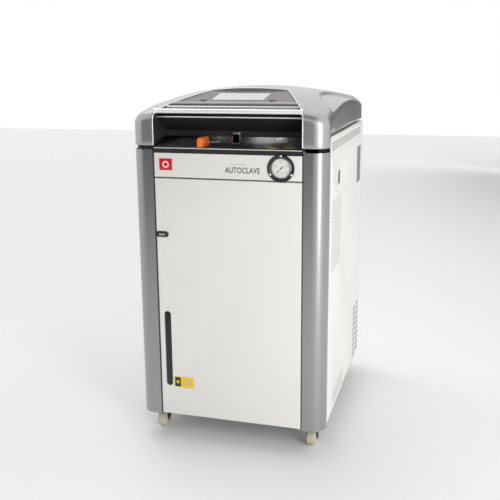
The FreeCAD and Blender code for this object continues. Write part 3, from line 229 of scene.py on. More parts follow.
def grained(name, colour, roughness, grain=600.0, variation=0.06, height=0.1, **more):
    values = [("Grain", grain), ("Variation", variation), ("Height", height)]
    return finish_material(name, grain_group, colour, roughness, values, **more)


def brushed(name, colour, roughness, stretch, height=0.08, **more):
    values = [("Stretch", stretch), ("Height", height)]
    return finish_material(name, brushed_group, colour, roughness, values, metallic=1.0, **more)


silver = grained("silver_lacquer", (0.44, 0.432, 0.44), 0.33, 1400, 0.05, 0.10, metallic=0.75,
    coat=0.25)
column_silver = grained("silver_extrusion", (0.36, 0.365, 0.37), 0.30, 1400, 0.05, 0.08,
    metallic=0.85, coat=0.2)
# Bright trim: the deck's real bright edge, and painted highlight on the opening's rim and the liner's
# edge.
bright_edge_and_highlight = grained("bright_edge_and_highlight", (0.86, 0.86, 0.88), 0.22, 900, 0.04, 0.05, metallic=0.6,
    coat=0.5)
cream = grained("powder_coat", (0.775, 0.757, 0.727), 0.42, 1100, 0.035, 0.22, coat=0.1)
cream_inner = grained("powder_coat_inner", (0.66, 0.62, 0.54), 0.5, 1100, 0.05, 0.2)
black_plastic = grained("black_moulding", (0.018, 0.018, 0.02), 0.38, 900, 0.2, 0.25)
gloss_black = grained("gloss_black_moulding", (0.012, 0.012, 0.014), 0.16, 400, 0.1, 0.03, coat=0.6)
# Charcoal: the liner's and cheeks' own black, and painted shade on the deck and the groove strip.
charcoal_and_shade = grained("charcoal_and_painted_shade", (0.028, 0.027, 0.029), 0.34, 900, 0.25, 0.15)
panel_grey = grained("panel_print", (0.118, 0.110, 0.110), 0.38, 1500, 0.06, 0.12, coat=0.15)
screen_grey = grained("panel_window", (0.60, 0.60, 0.585), 0.30, 900, 0.06, 0.05, coat=0.4)
rubber = grained("black_rubber", (0.012, 0.012, 0.012), 0.62, 700, 0.25, 0.3)
orange = grained("orange_moulding", (0.92, 0.17, 0.012), 0.28, 500, 0.06, 0.08, coat=0.35)
chrome = grained("polished_steel", (0.90, 0.90, 0.91), 0.10, 900, 0.03, 0.02, metallic=1.0)
zinc = grained("zinc_plate", (0.52, 0.53, 0.54), 0.38, 240, 0.22, 0.12, metallic=1.0)
dark_zinc = grained("black_zinc", (0.035, 0.036, 0.04), 0.36, 300, 0.3, 0.15, metallic=0.6)
stainless = brushed("brushed_stainless", (0.66, 0.66, 0.67), 0.28, (12, 900, 900))
stainless_round = brushed("turned_stainless", (0.66, 0.66, 0.67), 0.26, (90, 90, 2200))
copper = grained("copper_pipe", (0.72, 0.33, 0.17), 0.3, 300, 0.3, 0.1, metallic=1.0)
brass = grained("brass_fitting", (0.70, 0.49, 0.20), 0.28, 400, 0.15, 0.08, metallic=1.0)
silicone = grained("silicone", (0.66, 0.63, 0.56), 0.5, 500, 0.08, 0.1)
wool = grained("insulation_wrap", (0.60, 0.57, 0.47), 0.85, 160, 0.3, 0.9)
nylon = grained("nylon_wheel", (0.56, 0.51, 0.38), 0.42, 260, 0.14, 0.12)
dial_white = grained("dial_paint", (0.80, 0.785, 0.75), 0.45, 900, 0.04, 0.05)
ink = grained("printing_ink", (0.05, 0.06, 0.085), 0.5, 900, 0.1, 0.02)
pale_ink = grained("pale_print", (0.42, 0.42, 0.42), 0.5, 900, 0.1, 0.02)
label_white = grained("label_paper", (0.80, 0.79, 0.76), 0.4, 900, 0.04, 0.04)
label_yellow = grained("label_yellow", (0.84, 0.58, 0.02), 0.4, 900, 0.06, 0.04)
badge_red = grained("badge_red", (0.62, 0.012, 0.018), 0.3, 900, 0.05, 0.03, coat=0.5)
grille_grey = grained("grille_paint", (0.30, 0.29, 0.275), 0.5, 900, 0.08, 0.1)
bottle = grained("bottle_plastic", (0.80, 0.82, 0.82), 0.35, 120, 0.06, 0.15, alpha=0.75)
pale_trim = grained("window_trim", (0.62, 0.61, 0.58), 0.4, 900, 0.05, 0.05, coat=0.2)
label_dark = grained("label_dark", (0.025, 0.025, 0.025), 0.45, 900, 0.1, 0.03)
label_grey = grained("label_grey", (0.36, 0.35, 0.34), 0.5, 900, 0.08, 0.02)
label_ink = grained("label_ink", (0.075, 0.08, 0.095), 0.45, 900, 0.08, 0.02)
notice_white = grained("notice_paper", (0.76, 0.755, 0.74), 0.45, 900, 0.03, 0.03)
print("finishes:", len(bpy.data.materials))


def clear_glass(name, colour, roughness, transmission, alpha=1.0):
    """Glass keeps a plain shader; only its roughness is uneven, as on a handled pane."""
    material = bpy.data.materials.new(name)
    material.use_nodes = True
    tree = material.node_tree
    shader = tree.nodes["Principled BSDF"]
    place = tree.nodes.new("ShaderNodeTexCoord").outputs["Object"]
    level = remap(tree, noise(tree, place, 60.0), 0.3, 0.7, roughness * 0.6, roughness * 1.6)
    tree.links.new(level, shader.inputs["Roughness"])
    shader.inputs["Base Color"].default_value = (*colour, 1)
    shader.inputs["Transmission Weight"].default_value = transmission
    shader.inputs["IOR"].default_value = 1.49
    shader.inputs["Alpha"].default_value = alpha
    return material


lens_glass = clear_glass("gauge_glass", (1, 1, 1), 0.03, 0.0, alpha=0.10)
smoked = clear_glass("smoked_window", (0.02, 0.02, 0.022), 0.12, 0.25)

# %% [markdown]
# Most pieces are built from a handful of mesh moves: a block with softened edges, a plate with
# an outline, a turned profile and a tube along a path.  Every finished piece keeps its object
# at the origin, with its place in the mesh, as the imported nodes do.

# %% Mesh helpers


def finish_mesh(name, work, material, smooth=True, sharp=35):
    """Turn a bmesh into a shown object with outward faces."""
    bmesh.ops.remove_doubles(work, verts=work.verts, dist=1e-6)
    bmesh.ops.recalc_face_normals(work, faces=work.faces)
    mesh = bpy.data.meshes.new(name)
    work.to_mesh(mesh)
    work.free()
    piece = bpy.data.objects.new(name, mesh)
    bpy.context.scene.collection.objects.link(piece)
    mesh.materials.append(material)
    if smooth:
        mesh.shade_smooth()
        mesh.set_sharp_from_angle(angle=math.radians(sharp))
    return piece


def apply_modifiers(piece):
    """Keep the evaluated shape and drop the live modifiers."""
    depsgraph = bpy.context.evaluated_depsgraph_get()
    depsgraph.update()
    mesh = bpy.data.meshes.new_from_object(piece.evaluated_get(depsgraph))
    piece.modifiers.clear()
    piece.data = mesh
    mesh.shade_smooth()
    mesh.set_sharp_from_angle(angle=math.radians(35))
    return piece


def soft_block(name, low, high, material, edge=1 * MM, segments=3):
    """A block between two corners with rounded edges."""
    work = bmesh.new()
    bmesh.ops.create_cube(work, size=1.0)
    low, high = Vector(low), Vector(high)
    for vertex in work.verts:
        for axis in range(3):
            vertex.co[axis] = high[axis] if vertex.co[axis] > 0 else low[axis]
    if edge > 0:
        bmesh.ops.bevel(work, geom=work.edges[:], offset=edge, segments=segments, profile=0.5,
            affect="EDGES")
    return finish_mesh(name, work, material)


def rounded_outline(x0, z0, x1, z1, radius, steps=8):
    """Points round a rectangle with round corners, counter-clockwise."""
    points = []
    corners = ((x1 - radius, z0 + radius, -90), (x1 - radius, z1 - radius, 0))
    corners += ((x0 + radius, z1 - radius, 90), (x0 + radius, z0 + radius, 180))
    for cx, cz, start in corners:
        for i in range(steps + 1):
            turn = math.radians(start + 90 * i / steps)
            points.append((cx + radius * math.cos(turn), cz + radius * math.sin(turn)))
    return points


def plate(name, points, plane, near, far, material, edge=0.0, holes=()):
    """An outline in plane xz, yz or xy, thickened from near to far; holes are more outlines."""
    place = {"xz": lambda a, b, c: (a, c, b), "yz": lambda a, b, c: (c, a, b), "xy": lambda a, b,
        c: (a, b, c)}[plane]
    work = bmesh.new()
    loops = []
    for outline in (points, *holes):
        ring = [work.verts.new(place(a, b, near)) for a, b in outline]
        loops.append([work.edges.new((ring[i - 1], ring[i])) for i in range(len(ring))])
    edges = [e for loop in loops for e in loop]
    bmesh.ops.triangle_fill(work, edges=edges, use_beauty=True, use_dissolve=False)
    bmesh.ops.dissolve_limit(work, angle_limit=0.01, verts=work.verts, edges=work.edges)
    shift = Vector(place(0, 0, far)) - Vector(place(0, 0, near))
    raised = bmesh.ops.extrude_face_region(work, geom=list(work.faces))
    moved = [g for g in raised["geom"] if isinstance(g, bmesh.types.BMVert)]
    bmesh.ops.translate(work, verts=moved, vec=shift)
    piece = finish_mesh(name, work, material)
    if edge > 0:
        bevel = piece.modifiers.new("edge", "BEVEL")
        bevel.width = edge
        bevel.segments = 3
        bevel.limit_method = "ANGLE"
        bevel.angle_limit = math.radians(40)
        apply_modifiers(piece)
    return piece


def turned(name, profile, centre, axis, material, segments=64, sharp=35):
    """A profile of (radius, distance) pairs turned about an axis through a centre."""
    work = bmesh.new()
    rings = []
    for radius, distance in profile:
        if radius < 1e-7:
            rings.append([work.verts.new((0, 0, distance))])
            continue
        ring = []
        for i in range(segments):
            turn = 2 * math.pi * i / segments
            ring.append(work.verts.new((radius * math.cos(turn), radius * math.sin(turn),
                distance)))
        rings.append(ring)
    for a, b in zip(rings, rings[1:]):
        for i in range(segments):
            j = (i + 1) % segments
            corners = [a[i % len(a)], a[j % len(a)], b[j % len(b)], b[i % len(b)]]
            unique = list(dict.fromkeys(corners))
            if len(unique) > 2:
                work.faces.new(unique)
    towards = {"x": (1, 0, 0), "y": (0, 1, 0), "z": (0, 0, 1), "-x": (-1, 0, 0), "-y": (0, -1, 0),
        "-z": (0, 0, -1)}
    spin = Vector((0, 0, 1)).rotation_difference(Vector(towards[axis])).to_matrix().to_4x4()
    bmesh.ops.transform(work, matrix=Matrix.Translation(Vector(centre)) @ spin, verts=work.verts)
    return finish_mesh(name, work, material, sharp=sharp)


def tube(name, points, radius, material, steps=12, cyclic=False):
    """A round rod along a poly line, with closed ends."""
    curve = bpy.data.curves.new(name, "CURVE")
    curve.dimensions = "3D"
    curve.bevel_depth = radius
    curve.bevel_resolution = max(2, steps // 3)
    curve.use_fill_caps = True
    spline = curve.splines.new("POLY")
    spline.points.add(len(points) - 1)
    for point, at in zip(spline.points, points):
        point.co = (*at, 1)
    spline.use_cyclic_u = cyclic
    holder = bpy.data.objects.new(name, curve)
    bpy.context.scene.collection.objects.link(holder)
    mesh = mesh_of(holder)
    bpy.data.objects.remove(holder)
    work = bmesh.new()
    work.from_mesh(mesh)
    return finish_mesh(name, work, material)


def mesh_of(holder):
    depsgraph = bpy.context.evaluated_depsgraph_get()
    depsgraph.update()
    return bpy.data.meshes.new_from_object(holder.evaluated_get(depsgraph))


def join(name, pieces):
    """One object from several that share a body; each keeps its own finish."""
    work = bmesh.new()
    materials = []
    for piece in pieces:
        start = len(work.faces)
        work.from_mesh(piece.data)
        work.faces.ensure_lookup_table()
        used = [piece.data.materials[0]] if len(piece.data.materials) == 1 else list(piece.data.materials)
        for face in work.faces[start:]:
            material = used[min(face.material_index, len(used) - 1)]
            if material not in materials:
                materials.append(material)
            face.material_index = materials.index(material)
        bpy.data.objects.remove(piece)
    mesh = bpy.data.meshes.new(name)
    work.to_mesh(mesh)
    work.free()
    for material in materials:
        mesh.materials.append(material)
    whole = bpy.data.objects.new(name, mesh)
    bpy.context.scene.collection.objects.link(whole)
    mesh.shade_smooth()
    mesh.set_sharp_from_angle(angle=math.radians(35))
    return whole


def carve(piece, cutters):
    """Cut tools out of a piece and remove them."""
    for cutter in cutters:
        knife = piece.modifiers.new("cut", "BOOLEAN")
        knife.operation = "DIFFERENCE"
        knife.solver = "EXACT"
        knife.object = cutter
    apply_modifiers(piece)
    for cutter in cutters:
        bpy.data.objects.remove(cutter)
    return piece


def settle(piece, body, slot, *replaced):
    """Say what a finished piece moves with and what it stands for; slot is not used."""
    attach(piece, body)
    if replaced:
        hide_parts(*replaced)
    print(f"{piece.name}: {len(piece.data.polygons)} faces on {body}")
    return piece


print("mesh helpers ready")

# %% [markdown]
# Rows of holes, louvres, screws and ribs repeat a small shape over a grid.  Geometry Nodes do
# that: a grid of points, an instance of one small mesh on each, then Realize Instances and Set
# Material, so that the result is one plain mesh.

# %% The grid of copies


def make_array_tree():
    """A node tree that repeats a small object over rows and columns."""
    tree = bpy.data.node_groups.new("repeat_on_grid", "GeometryNodeTree")
    for label, kind in (("Geometry", "Geometry"), ("Piece", "Object"), ("Material", "Material")):
        tree.interface.new_socket(label, in_out="INPUT", socket_type="NodeSocket" + kind)
    for label, kind in (("Columns", "Int"), ("Rows", "Int"), ("Step", "Vector"), ("Rise", "Vector"),
        ("Start", "Vector")):
        tree.interface.new_socket(label, in_out="INPUT", socket_type="NodeSocket" + kind)
    tree.interface.new_socket("Geometry", in_out="OUTPUT", socket_type="NodeSocketGeometry")
    nodes, links = tree.nodes, tree.links
    source = nodes.new("NodeGroupInput")
    result = nodes.new("NodeGroupOutput")
    count = nodes.new("ShaderNodeMath")
    count.operation = "MULTIPLY"
    links.new(source.outputs["Columns"], count.inputs[0])
    links.new(source.outputs["Rows"], count.inputs[1])
    points = nodes.new("GeometryNodeMeshLine")
    links.new(count.outputs[0], points.inputs["Count"])
    index = nodes.new("GeometryNodeInputIndex")
    row = maths(tree, "FLOOR", maths(tree, "DIVIDE", index.outputs[0], source.outputs["Columns"]),
        0.0)
    column = maths(tree, "SUBTRACT", index.outputs[0], maths(tree, "MULTIPLY", row,
        source.outputs["Columns"]))
    place = source.outputs["Start"]
    for step, number in ((source.outputs["Step"], column), (source.outputs["Rise"], row)):
        scaled = add(tree, "ShaderNodeVectorMath", operation="SCALE")
        links.new(step, scaled.inputs[0])
        links.new(number, scaled.inputs["Scale"])
        total = add(tree, "ShaderNodeVectorMath", operation="ADD")
        links.new(place, total.inputs[0])
        links.new(scaled.outputs[0], total.inputs[1])
        place = total.outputs[0]
    moved = nodes.new("GeometryNodeSetPosition")
    links.new(points.outputs["Mesh"], moved.inputs["Geometry"])
    links.new(place, moved.inputs["Position"])
    shape = nodes.new("GeometryNodeObjectInfo")
    links.new(source.outputs["Piece"], shape.inputs["Object"])
    spread = nodes.new("GeometryNodeInstanceOnPoints")
    links.new(moved.outputs["Geometry"], spread.inputs["Points"])
    links.new(shape.outputs["Geometry"], spread.inputs["Instance"])
    real = nodes.new("GeometryNodeRealizeInstances")
    links.new(spread.outputs["Instances"], real.inputs["Geometry"])
    paint = nodes.new("GeometryNodeSetMaterial")
    links.new(real.outputs["Geometry"], paint.inputs["Geometry"])
    links.new(source.outputs["Material"], paint.inputs["Material"])
    links.new(paint.outputs["Geometry"], result.inputs["Geometry"])
    return tree


array_tree = make_array_tree()


def repeat(name, small, columns, rows, step, rise, start):
    """Copy a small piece over a grid, as one plain mesh; the small piece is used up."""
    holder = bpy.data.objects.new(name, bpy.data.meshes.new(name))
    bpy.context.scene.collection.objects.link(holder)
    modifier = holder.modifiers.new("repeat", "NODES")
    modifier.node_group = array_tree
    values = {"Piece": small, "Material": small.data.materials[0], "Columns": columns, "Rows": rows}
    values.update({"Step": step, "Rise": rise, "Start": start})
    for item in array_tree.interface.items_tree:
        if item.in_out == "INPUT" and item.name in values:
            modifier[item.identifier] = values[item.name]
    mesh = mesh_of(holder)
    holder.modifiers.clear()
    holder.data = mesh
    bpy.data.objects.remove(small)
    mesh.shade_smooth()
    mesh.set_sharp_from_angle(angle=math.radians(35))
    return holder


print("grid tree:", array_tree.name)

# %% [markdown]
# The lid is one large lacquered moulding: upright sides with round corners, a roof that is
# arched both ways, a soft shoulder between them and a shallow scoop pressed into each shoulder
# for the hands that push it down.  All of that follows a rule, so the skin is computed: rings
# run up the walls, over the shoulder and in to the middle, and one function gives the height.

# %% The lid's form
ARCH_SIDE = 33.5 * MM
ARCH_END = 32 * MM
ARCH_CENTRE = 33 * MM
CORNER = 38 * MM
SHOULDER = 24 * MM
SCOOP_DEPTH = 10 * MM
SCOOP_EDGE = 184 * MM
SCOOP_CENTRE = -15 * MM
SCOOP_CURVE = 1.485
SCOOP_BLEND = 15 * MM


def crown(x, y):
    """Height of the plain arched roof."""
    across = ARCH_SIDE * (x / half_width) ** 2
    along = ARCH_END * ((y - ARCH_CENTRE) / half_depth) ** 2
    return lid_high.z - across - along


def smooth_step(t):
    t = min(1.0, max(0.0, t))
    return t * t * (3 - 2 * t)


def scoop(x, y):
    """Depth of the hand scoop: a bowl that opens towards the side of the lid."""
    border = SCOOP_EDGE + SCOOP_CURVE * (y - SCOOP_CENTRE) ** 2
    return SCOOP_DEPTH * smooth_step((abs(x) - border) / SCOOP_BLEND)


def soft_max(a, b, width=1.2 * MM):
    mix = min(1.0, max(0.0, 0.5 + 0.5 * (a - b) / width))
    return b + (a - b) * mix + width * mix * (1 - mix)


def ring_outline(inset):
    """The lid's plan outline, moved in by an inset."""
    points = []
    radius = CORNER - inset
    x, y = half_width - inset, half_depth - inset
    corners = [(x, -y, -90, 70), (x, y, 0, 44), (-x, y, 90, 70), (-x, -y, 180, 44)]
    for index, (cx, cy, start, count) in enumerate(corners):
        mx, my = cx - math.copysign(radius, cx), cy - math.copysign(radius, cy)
        for i in range(15):
            turn = math.radians(start + 90 * i / 14)
            points.append(Vector((mx + radius * math.cos(turn), my + radius * math.sin(turn))))
        nx, ny = corners[(index + 1) % 4][:2]
        turn = math.radians(start + 90)
        end = Vector((nx - math.copysign(radius, nx) + radius * math.cos(turn),
                      ny - math.copysign(radius, ny) + radius * math.sin(turn)))
        last = points[-1].copy()
        points += [last.lerp(end, i / count) for i in range(1, count)]
    return points


def roof_point(point, drop):
    depth = soft_max(scoop(point.x, point.y), drop)
    return Vector((point.x, point.y, crown(point.x, point.y) - depth))


def lid_rings(bottom):
    edge = ring_outline(0.0)
    for share in (0.0, 0.25, 0.5, 0.75, 0.95):
        yield [Vector((p.x, p.y, bottom + (roof_point(p,
            SHOULDER).z - bottom) * share)) for p in edge]
    for inset in (0, 0.5, 1, 2, 3, 4, 5, 6.5, 8, 10, 12, 15, 18, 21, 24):
        inset *= MM
        drop = SHOULDER - math.sqrt(max(0.0, SHOULDER**2 - (SHOULDER - inset) ** 2))
        yield [roof_point(p, drop) for p in ring_outline(inset)]
    inner = ring_outline(SHOULDER)
    shares = [1 - 0.0115 * i for i in range(1, 27)] + [0.7 - 0.05 * i for i in range(1, 14)]
    for share in shares:
        yield [roof_point(p * share, 0.0) for p in inner]


# %% The lid's skin


def lid_skin():
    work = bmesh.new()
    rings = [[work.verts.new(p) for p in ring] for ring in lid_rings(lid_low.z)]
    for a, b in zip(rings, rings[1:]):
        for i in range(len(a)):
            work.faces.new((a[i - 1], a[i], b[i], b[i - 1]))
    work.faces.new(rings[-1])
    piece = finish_mesh("lid_cover", work, silver)
    wall = piece.modifiers.new("wall", "SOLIDIFY")
    wall.thickness = 2.6 * MM
    wall.offset = -1
    return apply_modifiers(piece)


WINDOW_HALF = 200 * MM
WINDOW_TOP = 932 * MM
RECESS_REAR = -95 * MM
RECESS_REAR_HALF = 110 * MM
RECESS_FRONT = -265 * MM
TAPER = (WINDOW_HALF - RECESS_REAR_HALF) / (half_depth + RECESS_REAR)


def recess_half(y):
    """Half the width of the recess at a place along the lid."""
    return RECESS_REAR_HALF + TAPER * (RECESS_REAR - y)


def recess_plan(front, rear, margin=0.0):
    return [
        (-recess_half(front) - margin, front),
        (recess_half(front) + margin, front),
        (recess_half(rear) + margin, rear),
        (-recess_half(rear) - margin, rear),
    ]


skirt_z = 869 * MM
skirt = soft_block("skirt_tool", (-0.4, seam_y, 0.7), (0.4, half_depth + 0.1, skirt_z), silver,
    edge=0)
window_points = rounded_outline(-WINDOW_HALF, 0.7, WINDOW_HALF, WINDOW_TOP, 14 * MM)
window = plate("window_tool", window_points, "xz", front_y - 0.05, front_y + 0.028, silver)
roof_cut = plate("roof_tool", recess_plan(front_y - 10 * MM, RECESS_REAR), "xy", 0.905, 1.05,
    silver)
lid_cover = carve(lid_skin(), [skirt, window, roof_cut])
lip = lid_cover.modifiers.new("lip", "BEVEL")
lip.width = 0.8 * MM
lip.segments = 2
lip.limit_method = "ANGLE"
lip.angle_limit = math.radians(60)
apply_modifiers(lid_cover)
settle(lid_cover, "lid", "silver_paint", "lid_shell")

# %% [markdown]
# Behind the window sit a silver pan that carries the controls, a dark liner that slopes back
# over the pressure lid, and a bright rod that paints the highlight along the edge of the
# opening over the shoulder.  The painted highlight is a fine rod along the computed surface,
# so it lies on it everywhere.

# %% The control recess
SLOPE = math.atan2(29.5, 170)
RECESS_LOW = 937 * MM


def slope_height(y, lift=0.0):
    """Height of the recess's floor at a place along the lid."""
    return RECESS_LOW + (y - RECESS_FRONT) * math.tan(SLOPE) + lift


def recess_pan():
    """Floor and walls of the recess, open above; the walls end just under the roof."""
    work = bmesh.new()
    steps = 14
    rim, floor = [], []
    path = [Vector((recess_half(y), y)) for y in lerp_list(RECESS_FRONT, RECESS_REAR, steps)]
    path += [Vector((x, RECESS_REAR)) for x in lerp_list(RECESS_REAR_HALF, -RECESS_REAR_HALF,
        steps)[1:]]
    path += [Vector((-recess_half(y), y)) for y in lerp_list(RECESS_REAR, RECESS_FRONT, steps)[1:]]
    for p in path:
        rim.append(work.verts.new((p.x, p.y, crown(p.x, p.y) - 0.4 * MM)))
        floor.append(work.verts.new((p.x, p.y, slope_height(p.y, -1.05 * MM))))
    for i in range(1, len(path)):
        work.faces.new((rim[i - 1], rim[i], floor[i], floor[i - 1]))
    work.faces.new(floor)
    piece = finish_mesh("recess_pan", work, silver)
    wall = piece.modifiers.new("wall", "SOLIDIFY")
    wall.thickness = 2 * MM
    wall.offset = 0
    return apply_modifiers(piece)


def lerp_list(a, b, steps):
    return [a + (b - a) * i / steps for i in range(steps + 1)]


def arc(cx, cz, radius, start, end, steps=6):
    """Points on a round corner, in degrees."""
    turns = [math.radians(t) for t in lerp_list(start, end, steps)]
    return [(cx + radius * math.cos(t), cz + radius * math.sin(t)) for t in turns]


nose_half = recess_half(-0.275) - 1 * MM
nose = [(RECESS_FRONT + 3 * MM, 0.921), (RECESS_FRONT + 3 * MM, 0.9378)]
nose += arc(RECESS_FRONT - 6 * MM, 0.9275, 9 * MM, 80, 180)
nose += [(RECESS_FRONT - 15 * MM, 0.921)]
lip_bar = plate("recess_lip", nose, "yz", -nose_half, nose_half, silver)
pan = join("control_recess", [recess_pan(), lip_bar])
settle(pan, "lid", "silver_paint")

# %% The dark liner
liner_half = WINDOW_HALF - 1 * MM
liner_points = [(-0.262, 0.929), (-0.266, 0.918), (-0.276, 0.9115), (-0.2995, 0.9095),
    (-0.3005, 0.9075)]
liner_points += [(-0.235, 0.868), (-0.2345, 0.853), (-0.231, 0.853), (-0.231, 0.873),
    (-0.256, 0.929)]
liner = plate("liner_body", liner_points, "yz", -liner_half, liner_half, charcoal_and_shade)
# Bright rod on the liner's front edge: a painted highlight on the glossy black edge.
liner_edge = tube("liner_edge", [(-liner_half, -0.3005, 0.9085), (liner_half, -0.3005, 0.9085)],
    1.5 * MM, bright_edge_and_highlight)
cheeks = []
for side in (-1, 1):
    low, high = sorted((side * WINDOW_HALF, side * (WINDOW_HALF + 2.4 * MM)))
    points = [(front_y + 2.5 * MM, 0.837), (-0.236, 0.853), (-0.236, 0.915), (-0.27, 0.929),
        (front_y + 16 * MM, 0.926),
              (front_y + 2.5 * MM, 0.905)]
    cheeks.append(plate(f"cheek_{side}", points, "yz", low, high, charcoal_and_shade))
catch_low, catch_high = -6 * MM, 14 * MM
catch_points = [(-0.260, 0.8332), (-0.234, 0.8332), (-0.234, 0.866), (-0.243, 0.860),
    (-0.243, 0.8372), (-0.260, 0.8372)]
catch = plate("lock_catch", catch_points, "yz", catch_low, catch_high, zinc, edge=0.5 * MM)
dark_liner = join("window_liner", [liner, liner_edge, catch, *cheeks])
settle(dark_liner, "lid", "dark_plastic", "lid_liner")

# %% The painted rim highlight


def rim_highlight_path():
    """Path of the painted highlight: up the window's side, over the shoulder, back along the recess and
    round to the other side.
    """
    path = [(WINDOW_HALF + 1.2 * MM, front_y - 0.2 * MM, z) for z in (0.8362, 0.86, 0.88, 0.895)]
    for i in range(0, 13):
        inset = SHOULDER * (1 - math.cos(math.pi / 2 * i / 12))
        y = front_y + inset
        x = recess_half(y) + 1.2 * MM
        drop = SHOULDER - math.sqrt(max(0.0, SHOULDER**2 - (SHOULDER - inset) ** 2))
        path.append((x, y, crown(x, y) - drop + 0.5 * MM))
    for y in lerp_list(front_y + SHOULDER + 4 * MM, RECESS_REAR + 1.2 * MM, 16):
        x = recess_half(y) + 1.2 * MM
        path.append((x, y, crown(x, y) + 0.4 * MM))
    rear = RECESS_REAR + 1.2 * MM
    middle = [(x, rear, crown(x, rear) + 0.4 * MM) for x in lerp_list(RECESS_REAR_HALF,
        -RECESS_REAR_HALF, 16)[1:-1]]
    return path + middle + [(-x, y, z) for x, y, z in reversed(path)]


# A bright rod laid on the lid: a painted highlight along the opening's rounded lip.
rim = tube("opening_rim", rim_highlight_path(), 1.4 * MM, bright_edge_and_highlight, steps=12)
settle(rim, "lid", "silver_paint")

# %% [markdown]
# The grab bar is a polished rod in two sleeves.  The control plate is a printed sheet with a
# pale display; its two keys are the imported ones, so they keep their travel, and the sheet has
# a round hole for each.

# %% Bar, plate and keys
bar_low, bar_high = (Vector(p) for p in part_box("grab_bar"))
bar_middle = (bar_low + bar_high) / 2
bar_radius = (bar_high.z - bar_low.z) / 2
profile = [(0, 0), (bar_radius + 1 * MM, 0), (bar_radius + 1 * MM, 7 * MM), (bar_radius, 8 * MM)]
length = bar_high.x - bar_low.x
profile += [(r, length - z) for r, z in reversed(profile)]
bar_material = grained("bar_polish", (0.93, 0.93, 0.935), 0.24, 700, 0.03, 0.03, metallic=0.35,
    coat=0.6)
bar = turned("lift_bar", profile, (bar_low.x, bar_middle.y, bar_middle.z), "x", bar_material,
    segments=40)
settle(bar, "lid", "chrome", "grab_bar")


def slope_plate(name, points, lift, thick, material, edge=0.0):
    """A flat plate lying on the recess's sloping floor; y is measured along the lid."""
    piece = plate(name, points, "xy", 0.0, thick, material, edge=edge)
    for vertex in piece.data.vertices:
        vertex.co.z += slope_height(vertex.co.y, lift)
    return piece


plan = recess_plan(RECESS_FRONT + 1 * MM, RECESS_REAR - 2 * MM, -1.5 * MM)
key_places = []
for name in ("start_key", "stop_key"):
    low, high = (Vector(p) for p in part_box(name))
    key_places.append((low + high) / 2)
holes = [[(k.x + 9 * MM * math.cos(t / 16 * math.pi),
    k.y + 9 * MM * math.sin(t / 16 * math.pi)) for t in range(32)]
         for k in key_places]
sheet = plate("control_sheet", plan, "xy", 0.0, 3 * MM, panel_grey, holes=holes)
for vertex in sheet.data.vertices:
    vertex.co.z += slope_height(vertex.co.y, 0.2 * MM)
display_points = rounded_outline(-0.075, -0.212, 0.071, -0.130, 2 * MM)
display = slope_plate("display_sheet", display_points, 3.1 * MM, 0.5 * MM, screen_grey)
TRIM_REAR = -240 * MM
trim_plan = recess_plan(RECESS_FRONT + 1 * MM, TRIM_REAR, -1.2 * MM)
marks = [display, slope_plate("front_trim", trim_plan, 3.0 * MM, 0.8 * MM, silver, edge=0.3 * MM)]
# A dark strip along the plate's front: painted shade standing in for a groove.
groove_shade_plan = recess_plan(RECESS_FRONT + 1.5 * MM, RECESS_FRONT + 11 * MM, -1.5 * MM)
marks.append(slope_plate("front_groove", groove_shade_plan, 3.7 * MM, 0.3 * MM, charcoal_and_shade))
for i in range(4):
    x = -0.140 + 0.018 * i if i < 2 else 0.112 + 0.018 * (i - 2)
    lamp = rounded_outline(x - 0.003, -0.187, x + 0.003, -0.185, 0.9 * MM)
    marks.append(slope_plate(f"lamp_{i}", lamp, 3.1 * MM, 0.3 * MM, pale_ink))
control_plate = join("control_plate", [sheet, *marks])
settle(control_plate, "lid", "panel_plastic", "control_panel")
print("lid pieces finished")

# %% [markdown]
# The door and the panel above it are pressed sheets, 1.6 mm thick, with returned edges.  Each
# is made as a block with a softened front, hollowed from behind, and then cut where a gauge,
# a latch or a window sits behind it.

# %% Pressed sheet
SHEET = 1.6 * MM


def pressed(name, low, high, material, open_side=1, axis=1, edge=1.4 * MM):
    """A shallow tray: a softened face with returned edges and an open back."""
    tray = soft_block(name, low, high, material, edge=edge)
    inner_low, inner_high = Vector(low), Vector(high)
    for other in range(3):
        inner_low[other] += SHEET
        inner_high[other] -= SHEET
    if open_side > 0:
        inner_high[axis] = high[axis] + 10 * MM
    else:
        inner_low[axis] = low[axis] - 10 * MM
    return carve(tray, [soft_block("hollow_tool", inner_low, inner_high, material, edge=0)])


def slot_points(x0, z0, x1, z1):
    """An obround outline."""
    return rounded_outline(x0, z0, x1, z1, (min(x1 - x0, z1 - z0) - 0.2 * MM) / 2)


LEVEL_LEFT, LEVEL_RIGHT, LEVEL_LOW, LEVEL_HIGH = -0.185, -0.167, 0.158, 0.377
latch_low, latch_high = (Vector(p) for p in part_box("latch_button"))
door_skin = pressed("door_skin", door_low, door_high, cream)
level_tool = plate("level_tool", slot_points(LEVEL_LEFT - 0.5 * MM, LEVEL_LOW - 0.5 * MM,
    LEVEL_RIGHT + 0.5 * MM, LEVEL_HIGH + 0.5 * MM), "xz", -0.34, -0.29, cream)
gap = 0.5 * MM
latch_tool = plate(
    "latch_tool",
    rounded_outline(latch_low.x - gap, latch_low.z - gap, latch_high.x + gap, latch_high.z + gap,
        7 * MM),
    "xz", -0.34, -0.29, cream)
carve(door_skin, [level_tool, latch_tool])
level_frame = plate(
    "level_frame", slot_points(LEVEL_LEFT - 1.8 * MM, LEVEL_LOW - 1.8 * MM, LEVEL_RIGHT + 1.8 * MM,
        LEVEL_HIGH + 1.8 * MM),
    "xz", front_y - 0.6 * MM, front_y + 6 * MM, pale_trim, edge=0.4 * MM,
    holes=[slot_points(LEVEL_LEFT - 0.4 * MM, LEVEL_LOW - 0.4 * MM, LEVEL_RIGHT + 0.4 * MM,
        LEVEL_HIGH + 0.4 * MM)])
